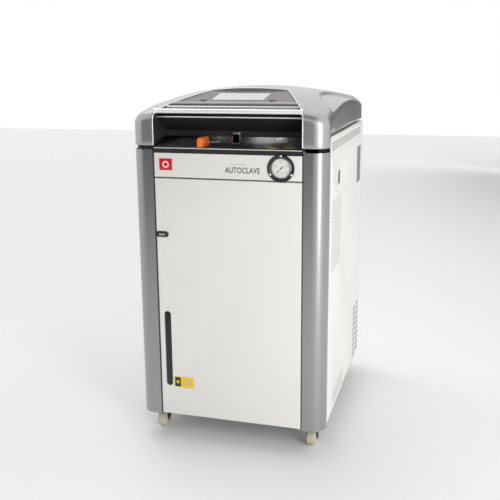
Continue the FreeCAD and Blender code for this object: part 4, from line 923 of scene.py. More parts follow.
latch_box = plate(
    "latch_cup",
    rounded_outline(latch_low.x - gap, latch_low.z - gap, latch_high.x + gap, latch_high.z + gap,
        7 * MM),
    "xz", front_y + 0.3 * MM, front_y + 7 * MM, black_plastic,
    holes=[rounded_outline(latch_low.x, latch_low.z, latch_high.x, latch_high.z, 6.6 * MM)])
warning = [
    plate("label_card", rounded_outline(-0.162, 0.155, -0.104, 0.187, 1.5 * MM), "xz",
          front_y - 0.35 * MM, front_y, label_yellow),
    plate("label_dark", rounded_outline(-0.160, 0.157, -0.143, 0.185, 1.0 * MM), "xz",
          front_y - 0.5 * MM, front_y - 0.3 * MM, label_dark),
    plate("label_disc", arc(-0.1515, 0.171, 4.5 * MM, 0, 345, 23), "xz",
          front_y - 0.6 * MM, front_y - 0.45 * MM, label_yellow),
]
for row in range(3):
    z = 0.180 - row * 7 * MM
    warning.append(plate(f"label_line_{row}", rounded_outline(-0.138, z - 0.8 * MM, -0.110,
        z + 0.8 * MM, 0.7 * MM), "xz",
                         front_y - 0.45 * MM, front_y - 0.3 * MM, label_grey))
settle(join("door_sheet", [door_skin, level_frame, latch_box, *warning]), "door", "white_paint",
    "front_door")

# %% Latch and water level
latch = plate(
    "latch_key", rounded_outline(latch_low.x + 0.6 * MM, latch_low.z + 0.6 * MM,
        latch_high.x - 0.6 * MM,
                                 latch_high.z - 0.6 * MM, 6 * MM), "xz", latch_low.y, latch_high.y,
                                     black_plastic, edge=1 * MM)
ridge = plate("latch_ridge", rounded_outline(-0.192, 0.5935, -0.174, 0.5985, 2.2 * MM), "xz",
              latch_low.y - 0.7 * MM, latch_low.y + 0.2 * MM, label_grey, edge=0.3 * MM)
settle(join("latch_touch", [latch, ridge]), "latch", "dark_plastic", "latch_button")
window_low, window_high = (Vector(p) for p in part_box("level_window"))
glass = soft_block("level_glass", window_low, window_high, smoked, edge=0.4 * MM)
scale = soft_block("level_tick", (-0.1835, window_low.y - 0.4 * MM, 0.170),
    (-0.1795, window_low.y, 0.1708), label_dark, edge=0)
ticks = repeat("level_ticks", scale, 1, 25, (0, 0, 0), (0, 0, 8 * MM), (0, 0, 0))
settle(join("level_glass", [glass, ticks]), "door", "smoked_window", "level_window")

# %% Upper panel, name and badge
gauge_x, gauge_z = gauge_middle.x, gauge_middle.z
upper_skin = pressed("upper_skin", upper_low, upper_high, cream)
gauge_hole = turned("gauge_tool", [(0, 0), (30 * MM, 0), (30 * MM, 40 * MM), (0, 40 * MM)],
    (gauge_x, -0.34, gauge_z), "y", cream)
carve(upper_skin, [gauge_hole])
BADGE_X, BADGE_Z, BADGE_HALF = -0.167, 0.786, 15.5 * MM
badge_outline = rounded_outline(BADGE_X - BADGE_HALF * 1.15, BADGE_Z - BADGE_HALF,
    BADGE_X + BADGE_HALF * 1.15, BADGE_Z + BADGE_HALF, 1 * MM)
badge = plate("badge_card", badge_outline, "xz", front_y - 1.2 * MM, front_y, badge_red,
    edge=0.3 * MM)
ring_steps = lerp_list(0, 352, 44)
ring_outer = [(BADGE_X + 9 * MM * math.cos(math.radians(t)),
    BADGE_Z + 9 * MM * math.sin(math.radians(t))) for t in ring_steps]
ring_inner = [(BADGE_X + 5.6 * MM * math.cos(math.radians(t)),
    BADGE_Z + 5.6 * MM * math.sin(math.radians(t))) for t in ring_steps]
badge_ring = plate("badge_ring", ring_outer, "xz", front_y - 1.45 * MM, front_y - 1.1 * MM,
    label_white, holes=[ring_inner])


def lettering(name, text, size, place, material, raise_by=0.35 * MM, tall=1.0, weight=0.012):
    """Flat generic lettering on the front, made into a mesh first and placed after."""
    curve = bpy.data.curves.new(name, "FONT")
    curve.body = text
    curve.size = size
    curve.align_x = "CENTER"
    curve.align_y = "CENTER"
    curve.space_character = 1.06
    curve.extrude = raise_by / 2
    curve.offset = size * weight
    holder = bpy.data.objects.new(name, curve)
    bpy.context.scene.collection.objects.link(holder)
    mesh = mesh_of(holder)
    bpy.data.objects.remove(holder)
    work = bmesh.new()
    work.from_mesh(mesh)
    stretch = Matrix.Diagonal((1, tall, 1, 1))
    turn = Matrix.Rotation(math.pi / 2, 4, "X")
    bmesh.ops.transform(work, matrix=Matrix.Translation(Vector(place)) @ turn @ stretch,
        verts=work.verts)
    return finish_mesh(name, work, material, smooth=False)


name_mark = lettering("front_text", "AUTOCLAVE", 15.5 * MM, (0.044, front_y - 0.1 * MM, 0.775),
    label_ink, tall=1.35, weight=0.016)
small_line = plate("text_rule", rounded_outline(0.012, 0.7905, 0.052, 0.7917, 0.5 * MM), "xz",
    front_y - 0.25 * MM, front_y, label_grey)
settle(join("upper_sheet", [upper_skin, badge, badge_ring, name_mark, small_line]), "cabinet",
    "white_paint", "upper_front_panel")

# %% [markdown]
# The side panels carry perforated rows and louvres.  A perforation is a tiny square frame; the
# grid tree tiles it, and the tiles fill an opening in the sheet, so the holes are real.  A dark
# sheet just behind each field paints the shade seen through the holes.

# %% Perforated and louvred tiles


def tile(name, across, up, hole_across, hole_up, thick, x, material):
    """A frame round one hole in a side panel, facing +x, centred at y 0, z 0."""
    work = bmesh.new()
    outer = [(-across / 2, -up / 2), (across / 2, -up / 2), (across / 2, up / 2),
        (-across / 2, up / 2)]
    inner = [(-hole_across / 2, -hole_up / 2), (hole_across / 2, -hole_up / 2),
        (hole_across / 2, hole_up / 2),
             (-hole_across / 2, hole_up / 2)]
    layers = []
    for depth in (0, -thick):
        layers.append([[work.verts.new((x + depth, a, b)) for a, b in loop] for loop in (outer,
            inner)])
    for i in range(4):
        j = (i + 1) % 4
        work.faces.new((layers[0][0][i], layers[0][0][j], layers[0][1][j], layers[0][1][i]))
        work.faces.new((layers[1][0][i], layers[1][0][j], layers[1][1][j], layers[1][1][i]))
        work.faces.new((layers[0][0][i], layers[0][0][j], layers[1][0][j], layers[1][0][i]))
        work.faces.new((layers[0][1][i], layers[0][1][j], layers[1][1][j], layers[1][1][i]))
    return finish_mesh(name, work, material, smooth=False)


SKIN = 0.35 * MM


class Field:
    """A rectangle of equal tiles: its corner, the count each way and one tile's size."""

    def __init__(self, y, z, columns, rows, across, up, hole_across, hole_up):
        self.y, self.z, self.columns, self.rows = y, z, columns, rows
        self.across, self.up, self.hole_across, self.hole_up = across, up, hole_across, hole_up

    def opening(self):
        y1, z1 = self.y + self.columns * self.across, self.z + self.rows * self.up
        return [(self.y, self.z), (y1, self.z), (y1, z1), (self.y, z1)]

    def tiles(self, name, side, material):
        small = tile(name + "_tile", self.across, self.up, self.hole_across, self.hole_up, SKIN,
            side_high.x, material)
        start = (0, self.y + self.across / 2, self.z + self.up / 2)
        grid = repeat(name, small, self.columns, self.rows, (0, self.across, 0), (0, 0, self.up),
            start)
        if side < 0:
            mirror_x(grid)
        return grid


def mirror_x(piece):
    """The other side's copy, with its faces turned outward again."""
    work = bmesh.new()
    work.from_mesh(piece.data)
    bmesh.ops.scale(work, vec=(-1, 1, 1), verts=work.verts)
    bmesh.ops.reverse_faces(work, faces=work.faces)
    work.to_mesh(piece.data)
    work.free()
    return piece


TOP_ROWS = Field(-0.263, 0.8225, 66, 3, 8.0 * MM, 7.6 * MM, 5.6 * MM, 5.2 * MM)
REAR_MESH = Field(0.208, 0.668, 13, 19, 6.0 * MM, 6.1 * MM, 3.9 * MM, 3.6 * MM)
REAR_LOUVRES = [Field(0.190, 0.077, 1, 10, 56 * MM, 18 * MM, 47 * MM, 8 * MM),
                Field(0.252, 0.077, 1, 10, 56 * MM, 18 * MM, 47 * MM, 8 * MM)]
FRONT_SLOTS = Field(-0.181, 0.083, 5, 1, 34 * MM, 52 * MM, 8 * MM, 48 * MM)
BREAKER_Y, BREAKER_Z = -0.144, 0.740


def side_sheet(side):
    """One side: a thin sheet with returned edges, its tile fields and its label."""
    tag = "right" if side > 0 else "left"
    fields = [TOP_ROWS, REAR_MESH, *REAR_LOUVRES, FRONT_SLOTS]
    outline = rounded_outline(side_low.y, side_low.z, side_high.y, side_high.z, 1.5 * MM, steps=3)
    holes = [f.opening() for f in fields]
    if side > 0:
        holes.append(rounded_outline(BREAKER_Y - 17 * MM, BREAKER_Z - 21 * MM, BREAKER_Y + 17 * MM,
            BREAKER_Z + 21 * MM, 3 * MM, 3))
    sheet = plate(f"{tag}_skin", outline, "yz", side_high.x - SHEET, side_high.x, cream,
        edge=0.5 * MM, holes=holes)
    parts = [sheet]
    if side < 0:
        mirror_x(sheet)
    for index, field in enumerate(fields):
        material = grille_grey if field is REAR_MESH else cream
        parts.append(field.tiles(f"{tag}_field_{index}", side, material))
    # A dark sheet just behind each field: painted shade that darkens the holes.
    for field in fields:
        (y0, z0), (y1, z1) = field.opening()[0], field.opening()[2]
        inner, outer = sorted((side * (side_high.x - SHEET),
            side * (side_high.x - SKIN - 0.02 * MM)))
        parts.append(soft_block(f"{tag}_gauze", (inner, y0, z0), (outer, y1, z1), black_plastic,
            edge=0))
    for low_z, high_z in ((side_low.z, side_low.z + SHEET), (side_high.z - SHEET, side_high.z)):
        low_x, high_x = sorted((side * (side_high.x - 13 * MM), side * (side_high.x - 0.3 * MM)))
        parts.append(soft_block(f"{tag}_return", (low_x, side_low.y + 1 * MM, low_z),
            (high_x, side_high.y - 1 * MM, high_z), cream, edge=0.3 * MM))
    fold_low, fold_high = sorted((side * (back_high.x + 0.4 * MM), side * (side_high.x - 0.4 * MM)))
    fold = ((fold_low, side_high.y - SHEET, side_low.z), (fold_high, side_high.y, side_high.z))
    parts.append(soft_block(f"{tag}_fold", *fold, cream, edge=0.4 * MM))
    for at_y in (side_low.y + 9 * MM, side_high.y - 12 * MM):
        for at_z in (side_low.z + 12 * MM, side_high.z - 55 * MM):
            screw = [(0, 0), (3.2 * MM, 0), (3.2 * MM, 0.6 * MM), (2.4 * MM, 1.3 * MM),
                (1.1 * MM, 1.4 * MM), (0.9 * MM, 0.6 * MM), (0, 0.6 * MM)]
            parts.append(turned(f"{tag}_screw", screw, (side * side_high.x, at_y, at_z),
                "x" if side > 0 else "-x", cream, segments=20))
    if side > 0:
        parts += side_label()
    settle(join(f"{tag}_side_sheet", parts), "cabinet", "white_paint", f"{tag}_side_panel")


def side_label():
    """A plain notice sheet with faint ruled lines and no wording."""
    x = side_high.x
    card = plate("notice_card", rounded_outline(-0.258, 0.485, -0.075, 0.712, 2 * MM), "yz", x,
        x + 0.25 * MM, notice_white)
    line = plate("notice_line", rounded_outline(-0.246, 0.498, -0.096, 0.5005, 1 * MM, 2), "yz",
        x + 0.2 * MM, x + 0.4 * MM, label_grey)
    lines = repeat("notice_lines", line, 1, 19, (0, 0, 0), (0, 0, 10.4 * MM), (0, 0, 0))
    mark = plate("notice_mark", arc(-0.166, 0.703, 4 * MM, 0, 340, 17), "yz", x + 0.2 * MM,
        x + 0.4 * MM, label_grey)
    return [card, lines, mark]


back_low, back_high = (Vector(p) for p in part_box("back_panel"))
side_sheet(1)
side_sheet(-1)

# %% [markdown]
# The gauge reads from 0 to 0.4: a glossy flange with three screws, a bright inner bezel, a
# printed dial with ticks laid round the axis, a tapered needle and a domed glass.

# %% Gauge
flange_radius = (gauge_high.x - gauge_low.x) / 2
lens_low, lens_high = (Vector(p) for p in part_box("gauge_lens"))
dial_low, dial_high = (Vector(p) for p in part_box("gauge_dial"))
pointer_low, pointer_high = (Vector(p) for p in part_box("gauge_pointer"))
lens_radius = (lens_high.x - lens_low.x) / 2
dial_radius = (dial_high.x - dial_low.x) / 2
gauge_at = (gauge_x, front_y, gauge_z)


def on_gauge(name, profile, material, segments=72):
    """A part turned about the gauge's axis; distance grows towards the front."""
    return turned(name, profile, gauge_at, "-y", material, segments=segments)


f, r = flange_radius, lens_radius
ring_profile = [(r + 0.3 * MM, 0), (f - 0.4 * MM, 0), (f, 0.6 * MM), (f - 0.2 * MM, 2.6 * MM),
    (f - 1.6 * MM, 3.9 * MM),
                (r + 3.2 * MM, 4.2 * MM), (r + 1.4 * MM, 3.6 * MM), (r + 0.3 * MM, 2.2 * MM),
                    (r + 0.3 * MM, 0)]
flange = on_gauge("gauge_ring", ring_profile, gloss_black)
bezel_profile = [(r - 2.6 * MM, 0.4 * MM), (r + 0.5 * MM, 0.4 * MM), (r + 0.9 * MM, 3.4 * MM),
    (r - 0.2 * MM, 4.1 * MM),
                 (r - 1.6 * MM, 2.7 * MM), (r - 2.6 * MM, 0.4 * MM)]
bezel = on_gauge("gauge_bezel", bezel_profile, gloss_black)
settle(join("gauge_surround", [flange, bezel]), "cabinet", "black_rubber", "gauge_flange")
screws = []
for turn in (90, 210, 330):
    at = (gauge_x + (f + r) / 2 * math.cos(math.radians(turn)), front_y - 3.6 * MM,
        gauge_z + (f + r) / 2 * math.sin(math.radians(turn)))
    head = [(0, 0), (2.5 * MM, 0), (2.5 * MM, 0.7 * MM), (1.7 * MM, 1.3 * MM), (0.8 * MM, 1.4 * MM),
        (0.8 * MM, 0.7 * MM), (0, 0.7 * MM)]
    screws.append(turned(f"gauge_screw_{turn}", head, at, "-y", chrome, segments=20))
settle(join("gauge_fixings", screws), "cabinet", "zinc", "gauge_screws")

dial_y = dial_low.y
FULL_SWEEP, FIRST_TURN = 270, 225


def dial_point(share, radius):
    turn = math.radians(FIRST_TURN - FULL_SWEEP * share)
    return gauge_x + radius * math.cos(turn), gauge_z + radius * math.sin(turn)


def dial_tick(name, share, inner, outer, half, material):
    turn = math.radians(FIRST_TURN - FULL_SWEEP * share)
    along, aside = Vector((math.cos(turn), math.sin(turn))), Vector((-math.sin(turn), math.cos(turn)))
    centre = Vector((gauge_x, gauge_z))
    points = [centre + along * inner - aside * half, centre + along * outer - aside * half,
              centre + along * outer + aside * half, centre + along * inner + aside * half]
    return plate(name, [tuple(p) for p in points], "xz", dial_y - 0.25 * MM, dial_y, material)


face = turned("dial_face", [(0, -0.9 * MM), (dial_radius, -0.9 * MM), (dial_radius, 0), (0, 0)],
    (gauge_x, dial_y, gauge_z), "-y", dial_white)
dial_parts = [face]
for step in range(41):
    long = step % 10 == 0
    middle_tick = step % 5 == 0
    inner = dial_radius * (0.80 if long else 0.84 if middle_tick else 0.88)
    half = (0.42 if long else 0.3 if middle_tick else 0.18) * MM
    dial_parts.append(dial_tick(f"tick_{step}", step / 40, inner, dial_radius * 0.95, half, ink))
for step in range(5):
    x, z = dial_point(step / 4, dial_radius * 0.62)
    text = "0" if step == 0 else f"0.{step}"
    dial_parts.append(lettering(f"dial_number_{step}", text, 5.6 * MM, (x, dial_y - 0.15 * MM, z),
        ink, 0.2 * MM))
unit = rounded_outline(gauge_x - 5 * MM, gauge_z - 14.6 * MM, gauge_x + 5 * MM, gauge_z - 13.4 * MM,
    0.5 * MM)
dial_parts.append(plate("dial_rule", unit, "xz", dial_y - 0.25 * MM, dial_y, label_grey))
settle(join("gauge_face", dial_parts), "cabinet", "dial_face", "gauge_dial")

needle_y = pointer_low.y + 0.4 * MM
rest = Vector((pointer_low.x + pointer_high.x,
    pointer_low.z + pointer_high.z)) / 2 - Vector((gauge_x, gauge_z))
rest = rest.normalized() if rest.length > 1e-4 else Vector((-0.7071, -0.7071))
aside = Vector((-rest.y, rest.x))
hub = Vector((gauge_x, gauge_z))
tip = [hub - rest * 7.5 * MM - aside * 1.3 * MM, hub + rest * 19 * MM - aside * 0.25 * MM,
    hub + rest * 19 * MM + aside * 0.25 * MM,
       hub - rest * 7.5 * MM + aside * 1.3 * MM]
needle = plate("needle_blade", [tuple(p) for p in tip], "xz", needle_y - 0.35 * MM,
    needle_y + 0.35 * MM, ink)
boss = turned("needle_boss", [(0, -0.6 * MM), (2.6 * MM, -0.6 * MM), (2.6 * MM, 0.7 * MM),
    (2.0 * MM, 1.2 * MM), (0, 1.2 * MM)],
              (gauge_x, needle_y, gauge_z), "-y", black_plastic, segments=32)
settle(join("gauge_needle", [needle, boss]), "pointer", "dark_plastic", "gauge_pointer")
lens_front = lens_low.y
lens_profile = [(0, -1.2 * MM), (r - 0.4 * MM, -1.2 * MM), (r - 0.4 * MM, 0)]
lens_profile += [((r - 0.4 * MM) * math.cos(math.radians(t)),
    1.6 * MM * math.sin(math.radians(t))) for t in (15, 35, 55, 75)]
lens_profile += [(0, 1.6 * MM)]
glass_lens = turned("gauge_glass_dome", lens_profile, (gauge_x, lens_front + 0.6 * MM, gauge_z),
    "-y", lens_glass, segments=72)
settle(glass_lens, "cabinet", "clear_lens", "gauge_lens")

# %% [markdown]
# The lock's orange lever is a moulded grip on a slide.  Beside it lie the deck, its front seal
# and the stickers.

# %% Lock lever and deck
lever_high = Vector(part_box("lock_lever")[1])
LEVER_X, LEVER_HALF = -0.073, 7 * MM
grip_front, grip_rear = front_y + 2 * MM, front_y + 64 * MM
base_z = deck_high.z + 0.4 * MM
grip_top = lever_high.z
grip_points = [(grip_front + 1 * MM, base_z), (grip_rear, base_z), (grip_rear, grip_top - 3 * MM),
    (grip_rear - 3 * MM, grip_top)]
grip_points += arc(grip_front + 13 * MM, grip_top - 13 * MM, 13 * MM, 90, 180,
    10) + [(grip_front, base_z + 2 * MM)]
grip = plate("lever_grip", grip_points, "yz", LEVER_X - LEVER_HALF, LEVER_X + LEVER_HALF, orange,
    edge=1.8 * MM)
stem = soft_block("lever_post", (LEVER_X - 6 * MM, front_y + 26 * MM, 0.812),
    (LEVER_X + 6 * MM, front_y + 34 * MM, base_z + 3 * MM), zinc, edge=0.5 * MM)
slide = soft_block("lever_rail", (LEVER_X - 60 * MM, front_y + 24 * MM, 0.808),
    (LEVER_X + 60 * MM, front_y + 36 * MM, 0.820), zinc, edge=1 * MM)
finger_low, finger_high = base_z + 7 * MM, base_z + 11 * MM
finger = soft_block("lever_finger", (LEVER_X + 4 * MM, front_y + 62 * MM, finger_low),
    (LEVER_X + 33 * MM, front_y + 80 * MM, finger_high), zinc, edge=0.8 * MM)
settle(join("lock_handle", [grip, stem, slide, finger]), "lock", "orange_plastic", "lock_lever")
catch_low, catch_high = (Vector(p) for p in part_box("lid_catch"))
hook_points = [(catch_low.y, catch_low.z), (catch_high.y, catch_low.z),
    (catch_high.y, catch_high.z), (catch_high.y - 8 * MM, catch_high.z),
               (catch_high.y - 8 * MM, catch_low.z + 4 * MM), (catch_low.y, catch_low.z + 4 * MM)]
hook = plate("catch_hook", hook_points, "yz", catch_low.x, catch_high.x, zinc, edge=0.5 * MM)
settle(hook, "lid", "zinc", "lid_catch")
edge_y, edge_z = deck_low.y - 0.6 * MM, deck_high.z - 1.6 * MM
deck_edge = tube("deck_edge", [(-0.1995, edge_y, edge_z), (0.1995, edge_y, edge_z)], 1.3 * MM,
    bright_edge_and_highlight)
stickers = [deck_edge]
for index, (x, y, wide) in enumerate(((0.118, -0.292, 26), (0.160, -0.280, 30),
    (0.095, -0.262, 18))):
    points = rounded_outline(x - wide / 2 * MM, y - 8 * MM, x + wide / 2 * MM, y + 8 * MM, 1.5 * MM)
    stickers.append(plate(f"deck_sticker_{index}", points, "xy", deck_high.z,
        deck_high.z + 0.3 * MM, label_yellow))
settle(join("deck_trim", stickers), "cabinet", "white_paint")

# %% [markdown]
# Four casters: a pressed fork with a ball race, a moulded wheel with a raised hub, an axle
# bolt, and on the front pair a brake pedal.

# %% Casters


def caster_look(word, sx, sy):
    fork_high = Vector(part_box(f"{word}_caster_fork")[1])
    wheel_low, wheel_high = (Vector(p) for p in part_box(f"{word}_wheel"))
    axle = (wheel_low + wheel_high) / 2
    radius, half = (wheel_high.z - wheel_low.z) / 2, (wheel_high.x - wheel_low.x) / 2
    tread = [(4.2 * MM, -half), (radius * 0.45, -half), (radius * 0.48, -half + 2 * MM),
        (radius * 0.72, -half + 2 * MM),
             (radius * 0.76, -half), (radius - 2.4 * MM, -half),
                 (radius - 0.7 * MM, -half + 1 * MM), (radius, -half + 3 * MM)]
    profile = tread + [(r, -z) for r, z in reversed(tread)] + [tread[0]]
    wheel = turned(f"{word}_tyre", profile, axle, "x", nylon, segments=56)
    settle(wheel, f"{word}_roller", "nylon_wheel", f"{word}_wheel")
    top = fork_high.z
    pivot = Vector((0.222 * sx, -0.244 if sy < 0 else 0.250, top))
    parts = []
    for side in (-1, 1):
        inner = axle.x + side * (half + 1 * MM)
        outer = axle.x + side * (half + 3.6 * MM)
        low, high = min(inner, outer), max(inner, outer)
        toward = 1 if pivot.y > axle.y else -1
        points = [(axle.y - toward * 9 * MM, axle.z + 2 * MM),
            (axle.y - toward * 5 * MM, axle.z - 6.5 * MM), (axle.y + toward * 5 * MM,
                axle.z - 6.5 * MM),
                  (axle.y + toward * 12 * MM, axle.z + 6 * MM),
                      (pivot.y + toward * 12 * MM, top - 8 * MM),
                          (pivot.y + toward * 12 * MM, top - 2.5 * MM),
                  (axle.y - toward * 9 * MM, top - 2.5 * MM)]
        parts.append(plate(f"{word}_cheek_{side}", points, "yz", low, high, dark_zinc,
            edge=0.5 * MM))
        nut = [(0, 0), (5.2 * MM, 0), (5.2 * MM, 1.6 * MM), (4.2 * MM, 2.3 * MM), (0, 2.3 * MM)]
        parts.append(turned(f"{word}_nut_{side}", nut, (outer, axle.y, axle.z),
            "x" if side > 0 else "-x", zinc, segments=6, sharp=20))
    rear, front = sorted((pivot.y - 12 * MM * (1 if pivot.y < axle.y else -1),
        axle.y + 9 * MM * (1 if pivot.y < axle.y else -1)))
    parts.append(soft_block(f"{word}_bridge", (axle.x - half - 3.6 * MM, rear, top - 5 * MM),
        (axle.x + half + 3.6 * MM, front, top - 1.5 * MM), dark_zinc, edge=1 * MM))
    race = [(7.2 * MM, -7 * MM), (17 * MM, -7 * MM), (17.5 * MM, -4 * MM), (15.5 * MM, -1 * MM),
        (13 * MM, 0), (7.2 * MM, 0), (7.2 * MM, -7 * MM)]
    parts.append(turned(f"{word}_race", race, pivot, "z", dark_zinc, segments=44))
    parts.append(turned(f"{word}_axle_rod", [(0, -half - 2 * MM), (3.9 * MM, -half - 2 * MM),
        (3.9 * MM, half + 2 * MM), (0, half + 2 * MM)], axle, "x", zinc, segments=24))
    if sy < 0:
        pedal = [(axle.y - 8 * MM, axle.z + 12 * MM), (axle.y - 8 * MM, axle.z + 16 * MM),
            (axle.y + 2 * MM, top - 6 * MM), (axle.y + 4 * MM, top - 8 * MM)]
        parts.append(plate(f"{word}_pedal", pedal, "yz", axle.x - half + 3 * MM,
            axle.x + half - 3 * MM, black_plastic, edge=0.8 * MM))
    settle(join(f"{word}_bracket", parts), f"{word}_swivel", "zinc", f"{word}_caster_fork")


for word, sx, sy in (("front_left", -1, -1), ("front_right", 1, -1), ("rear_left", -1, 1),
    ("rear_right", 1, 1)):
    caster_look(word, sx, sy)

# %% [markdown]
# The back is a plain sheet with vents, screws, the drain spout and the cord gland.  The
# breaker sits in a bezel in the right side.

# %% Back and breaker
back_holes = [rounded_outline(-0.090, 0.300 + 20 * MM * i, 0.090, 0.306 + 20 * MM * i, 2.8 * MM,
    4) for i in range(8)]
for x, z, radius in ((-0.180, 0.150, 10.9 * MM), (0.150, 0.110, 8.4 * MM)):
    turns = [math.radians(t) for t in lerp_list(0, 352.5, 47)]
    back_holes.append([(x + radius * math.cos(t), z + radius * math.sin(t)) for t in turns])
back_outline = rounded_outline(back_low.x, back_low.z, back_high.x, back_high.z, 2 * MM, 3)
back_skin = plate("back_skin", back_outline, "xz", back_low.y, back_high.y, cream, edge=0.4 * MM,
    holes=back_holes)
back_parts = [back_skin]
bolt_profile = [(0, 0), (4 * MM, 0), (4 * MM, 0.8 * MM), (2.8 * MM, 1.8 * MM), (1.2 * MM, 2.0 * MM),
    (1.2 * MM, 1.0 * MM), (0, 1.0 * MM)]
bolt = turned("back_bolt", bolt_profile, (0, back_high.y, 0), "y", zinc, segments=20)
back_parts.append(repeat("back_bolts", bolt, 2, 5, (2 * 0.248, 0, 0), (0, 0, 0.150),
    (-0.248, 0, 0.120)))
plate_points = rounded_outline(0.06, 0.60, 0.16, 0.66, 2 * MM)
back_parts.append(plate("rating_card", plate_points, "xz", back_high.y, back_high.y + 0.3 * MM,
    zinc))
settle(join("back_sheet", back_parts), "cabinet", "white_paint", "back_panel")

bezel_outline = rounded_outline(BREAKER_Y - 17.4 * MM, BREAKER_Z - 21.4 * MM, BREAKER_Y + 17.4 * MM,
    BREAKER_Z + 21.4 * MM, 3.2 * MM)
bezel_hole = rounded_outline(BREAKER_Y - 14 * MM, BREAKER_Z - 18 * MM, BREAKER_Y + 14 * MM,
    BREAKER_Z + 18 * MM, 2 * MM)
trim = plate("breaker_trim", bezel_outline, "yz", side_high.x - 1.2 * MM, side_high.x + 0.8 * MM,
    cream_inner, edge=0.4 * MM, holes=[bezel_hole])
settle(trim, "cabinet", "dark_plastic")
print("breaker bezel at height", BREAKER_Z)

# %% [markdown]
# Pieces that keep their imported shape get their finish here; the machined shape is already
# right and only its surface is missing.

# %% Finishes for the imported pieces
FINISHES = {
    # The deck_plate gets the charcoal colour as painted shade: under the lid the deck shows black, not as
    # steel.
    "base_frame": zinc, "inner_frame": zinc, "deck_plate": charcoal_and_shade, "door_frame": cream_inner,
    "left_front_column": column_silver, "right_front_column": column_silver,
        "chamber_vessel": stainless_round,
    "chamber_insulation": wool, "heater_element": chrome, "floor_screen": stainless,
        "drain_pipe": copper,
    "drain_valve_body": brass, "exhaust_manifold": brass, "safety_valve": brass,
        "exhaust_valve": black_plastic,
    "exhaust_pipe": copper, "exhaust_bottle": bottle, "bottle_cap": black_plastic,
        "door_hinge_pins": zinc,
    "gauge_case": zinc, "gauge_dial": dial_white, "breaker_body": black_plastic,
        "breaker_toggle": black_plastic,
    "fan_frame": black_plastic, "fan_rotor": black_plastic, "cord_gland": black_plastic,
        "caster_plates": zinc,
    "hinge_bracket": zinc, "lid_hinge_leaf": zinc, "pressure_lid": stainless_round,
        "lid_gasket": silicone,
    "deck_seal": rubber, "back_panel": cream, "left_side_panel": cream, "right_side_panel": cream,
    "front_door": cream, "upper_front_panel": cream, "level_window": smoked,
        "latch_button": black_plastic,
    "gauge_flange": gloss_black, "gauge_screws": zinc, "gauge_lens": lens_glass,
        "gauge_pointer": ink,
    "lock_lever": orange, "drain_valve_handle": orange, "start_key": panel_grey,
        "stop_key": panel_grey,
}
for name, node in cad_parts.items():
    material = FINISHES.get(name)
    if material is None and name.endswith("_wheel"):
        material = nylon
    if material is None and name.endswith("_fork"):
        material = dark_zinc
    if material is None:
        continue
    if not node.data.materials:
        node.data.materials.append(material)
    for index in range(len(node.material_slots)):
        node.material_slots[index].material = material
print("packed pieces finished:", len(FINISHES))

# %% [markdown]
# The object stands on a plain pale floor in soft light from large panels.  The camera stands
# a little above the lid, in front of the machine and to the right of its middle.

# %% Floor, light and camera


def make_floor():
    work = bmesh.new()
    bmesh.ops.create_grid(work, x_segments=1, y_segments=1, size=9.0)
    floor_paint = grained("floor_paint", (0.86, 0.86, 0.86), 0.6, 60, 0.01, 0.0)
    piece = finish_mesh("studio_floor", work, floor_paint, smooth=False)
    return piece


def area_light(name, place, aim, width, height, power):
    data = bpy.data.lights.new(name, "AREA")
    data.shape = "RECTANGLE"
    data.size = width
    data.size_y = height
    data.energy = power
    lamp = bpy.data.objects.new(name, data)
    lamp.location = place
    lamp.rotation_euler = (Vector(aim) - Vector(place)).to_track_quat("-Z", "Y").to_euler()
    bpy.context.scene.collection.objects.link(lamp)
    return lamp


def make_world(level):
    world = bpy.data.worlds.new("studio_world")
    world.use_nodes = True
    background = world.node_tree.nodes["Background"]
    background.inputs["Color"].default_value = (1, 1, 1, 1)
    background.inputs["Strength"].default_value = level
    bpy.context.scene.world = world


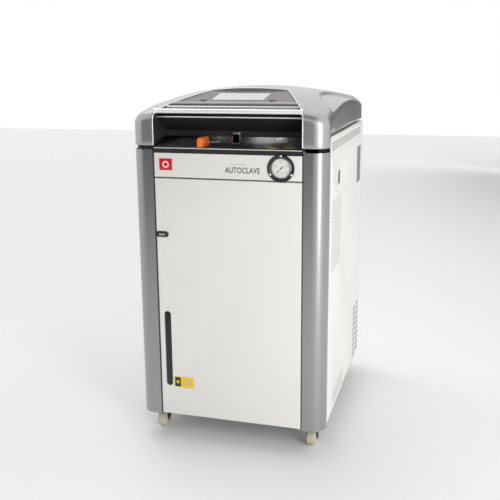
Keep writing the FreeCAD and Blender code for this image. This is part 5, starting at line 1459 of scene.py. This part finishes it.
def make_flag(name, centre, width, height, facing):
    """A dark card that the metal reflects and the camera doesn't see."""
    card = soft_block(name, (-width / 2, -0.01, -height / 2), (width / 2, 0.01, height / 2),
        flag_cloth, edge=0)
    turn = (Vector(facing) - Vector(centre)).to_track_quat("Y", "Z").to_matrix().to_4x4()
    work = bmesh.new()
    work.from_mesh(card.data)
    bmesh.ops.transform(work, matrix=Matrix.Translation(Vector(centre)) @ turn, verts=work.verts)
    work.to_mesh(card.data)
    work.free()
    card.visible_camera = False
    return card


flag_cloth = grained("flag_cloth", (0.035, 0.035, 0.037), 0.9, 60, 0.05, 0.0)
make_floor()
make_world(1.0)
make_flag("front_flag", (-1.3, -3.6, 1.3), 3.6, 3.0, (0, 0, 0.7))
make_flag("high_flag", (-0.2, -1.6, 4.2), 3.4, 2.6, (0, 0, 0.7))
make_flag("side_flag", (2.2, 4.6, 1.5), 3.8, 2.4, (0, 0, 0.6))
area_light("edge_light", (2.3, -2.3, 1.2), (0.24, -0.3, 0.5), 0.9, 2.4, 46)
area_light("top_light", (-0.9, 0.6, 3.0), (0, 0, 0.8), 0.9, 1.6, 14)

CAMERA_PLACE = Vector((0.5873, -2.1518, 1.0451))
SENSOR_WIDTH, LENS, LENS_SHIFT = 36, 53.748, -0.04
YAW, PITCH, ROLL = (math.radians(a) for a in (16.013, 12.603, -0.488))


def make_camera():
    """A 54 mm lens that looks down at the front and the right side."""
    data = bpy.data.cameras.new("studio_camera")
    data.sensor_width = SENSOR_WIDTH
    data.lens = LENS
    data.shift_y = LENS_SHIFT
    camera = bpy.data.objects.new("studio_camera", data)
    forward = Vector((-math.sin(YAW) * math.cos(PITCH), math.cos(YAW) * math.cos(PITCH),
        -math.sin(PITCH)))
    right = Vector((math.cos(YAW), math.sin(YAW), 0))
    up = right.cross(forward)
    across = right * math.cos(ROLL) + up * math.sin(ROLL)
    upright = -right * math.sin(ROLL) + up * math.cos(ROLL)
    turn = Matrix((across, upright, -forward)).transposed()
    camera.matrix_world = Matrix.Translation(CAMERA_PLACE) @ turn.to_4x4()
    bpy.context.scene.collection.objects.link(camera)
    bpy.context.scene.camera = camera
    return camera


make_camera()
bpy.context.scene.view_settings.view_transform = "Standard"
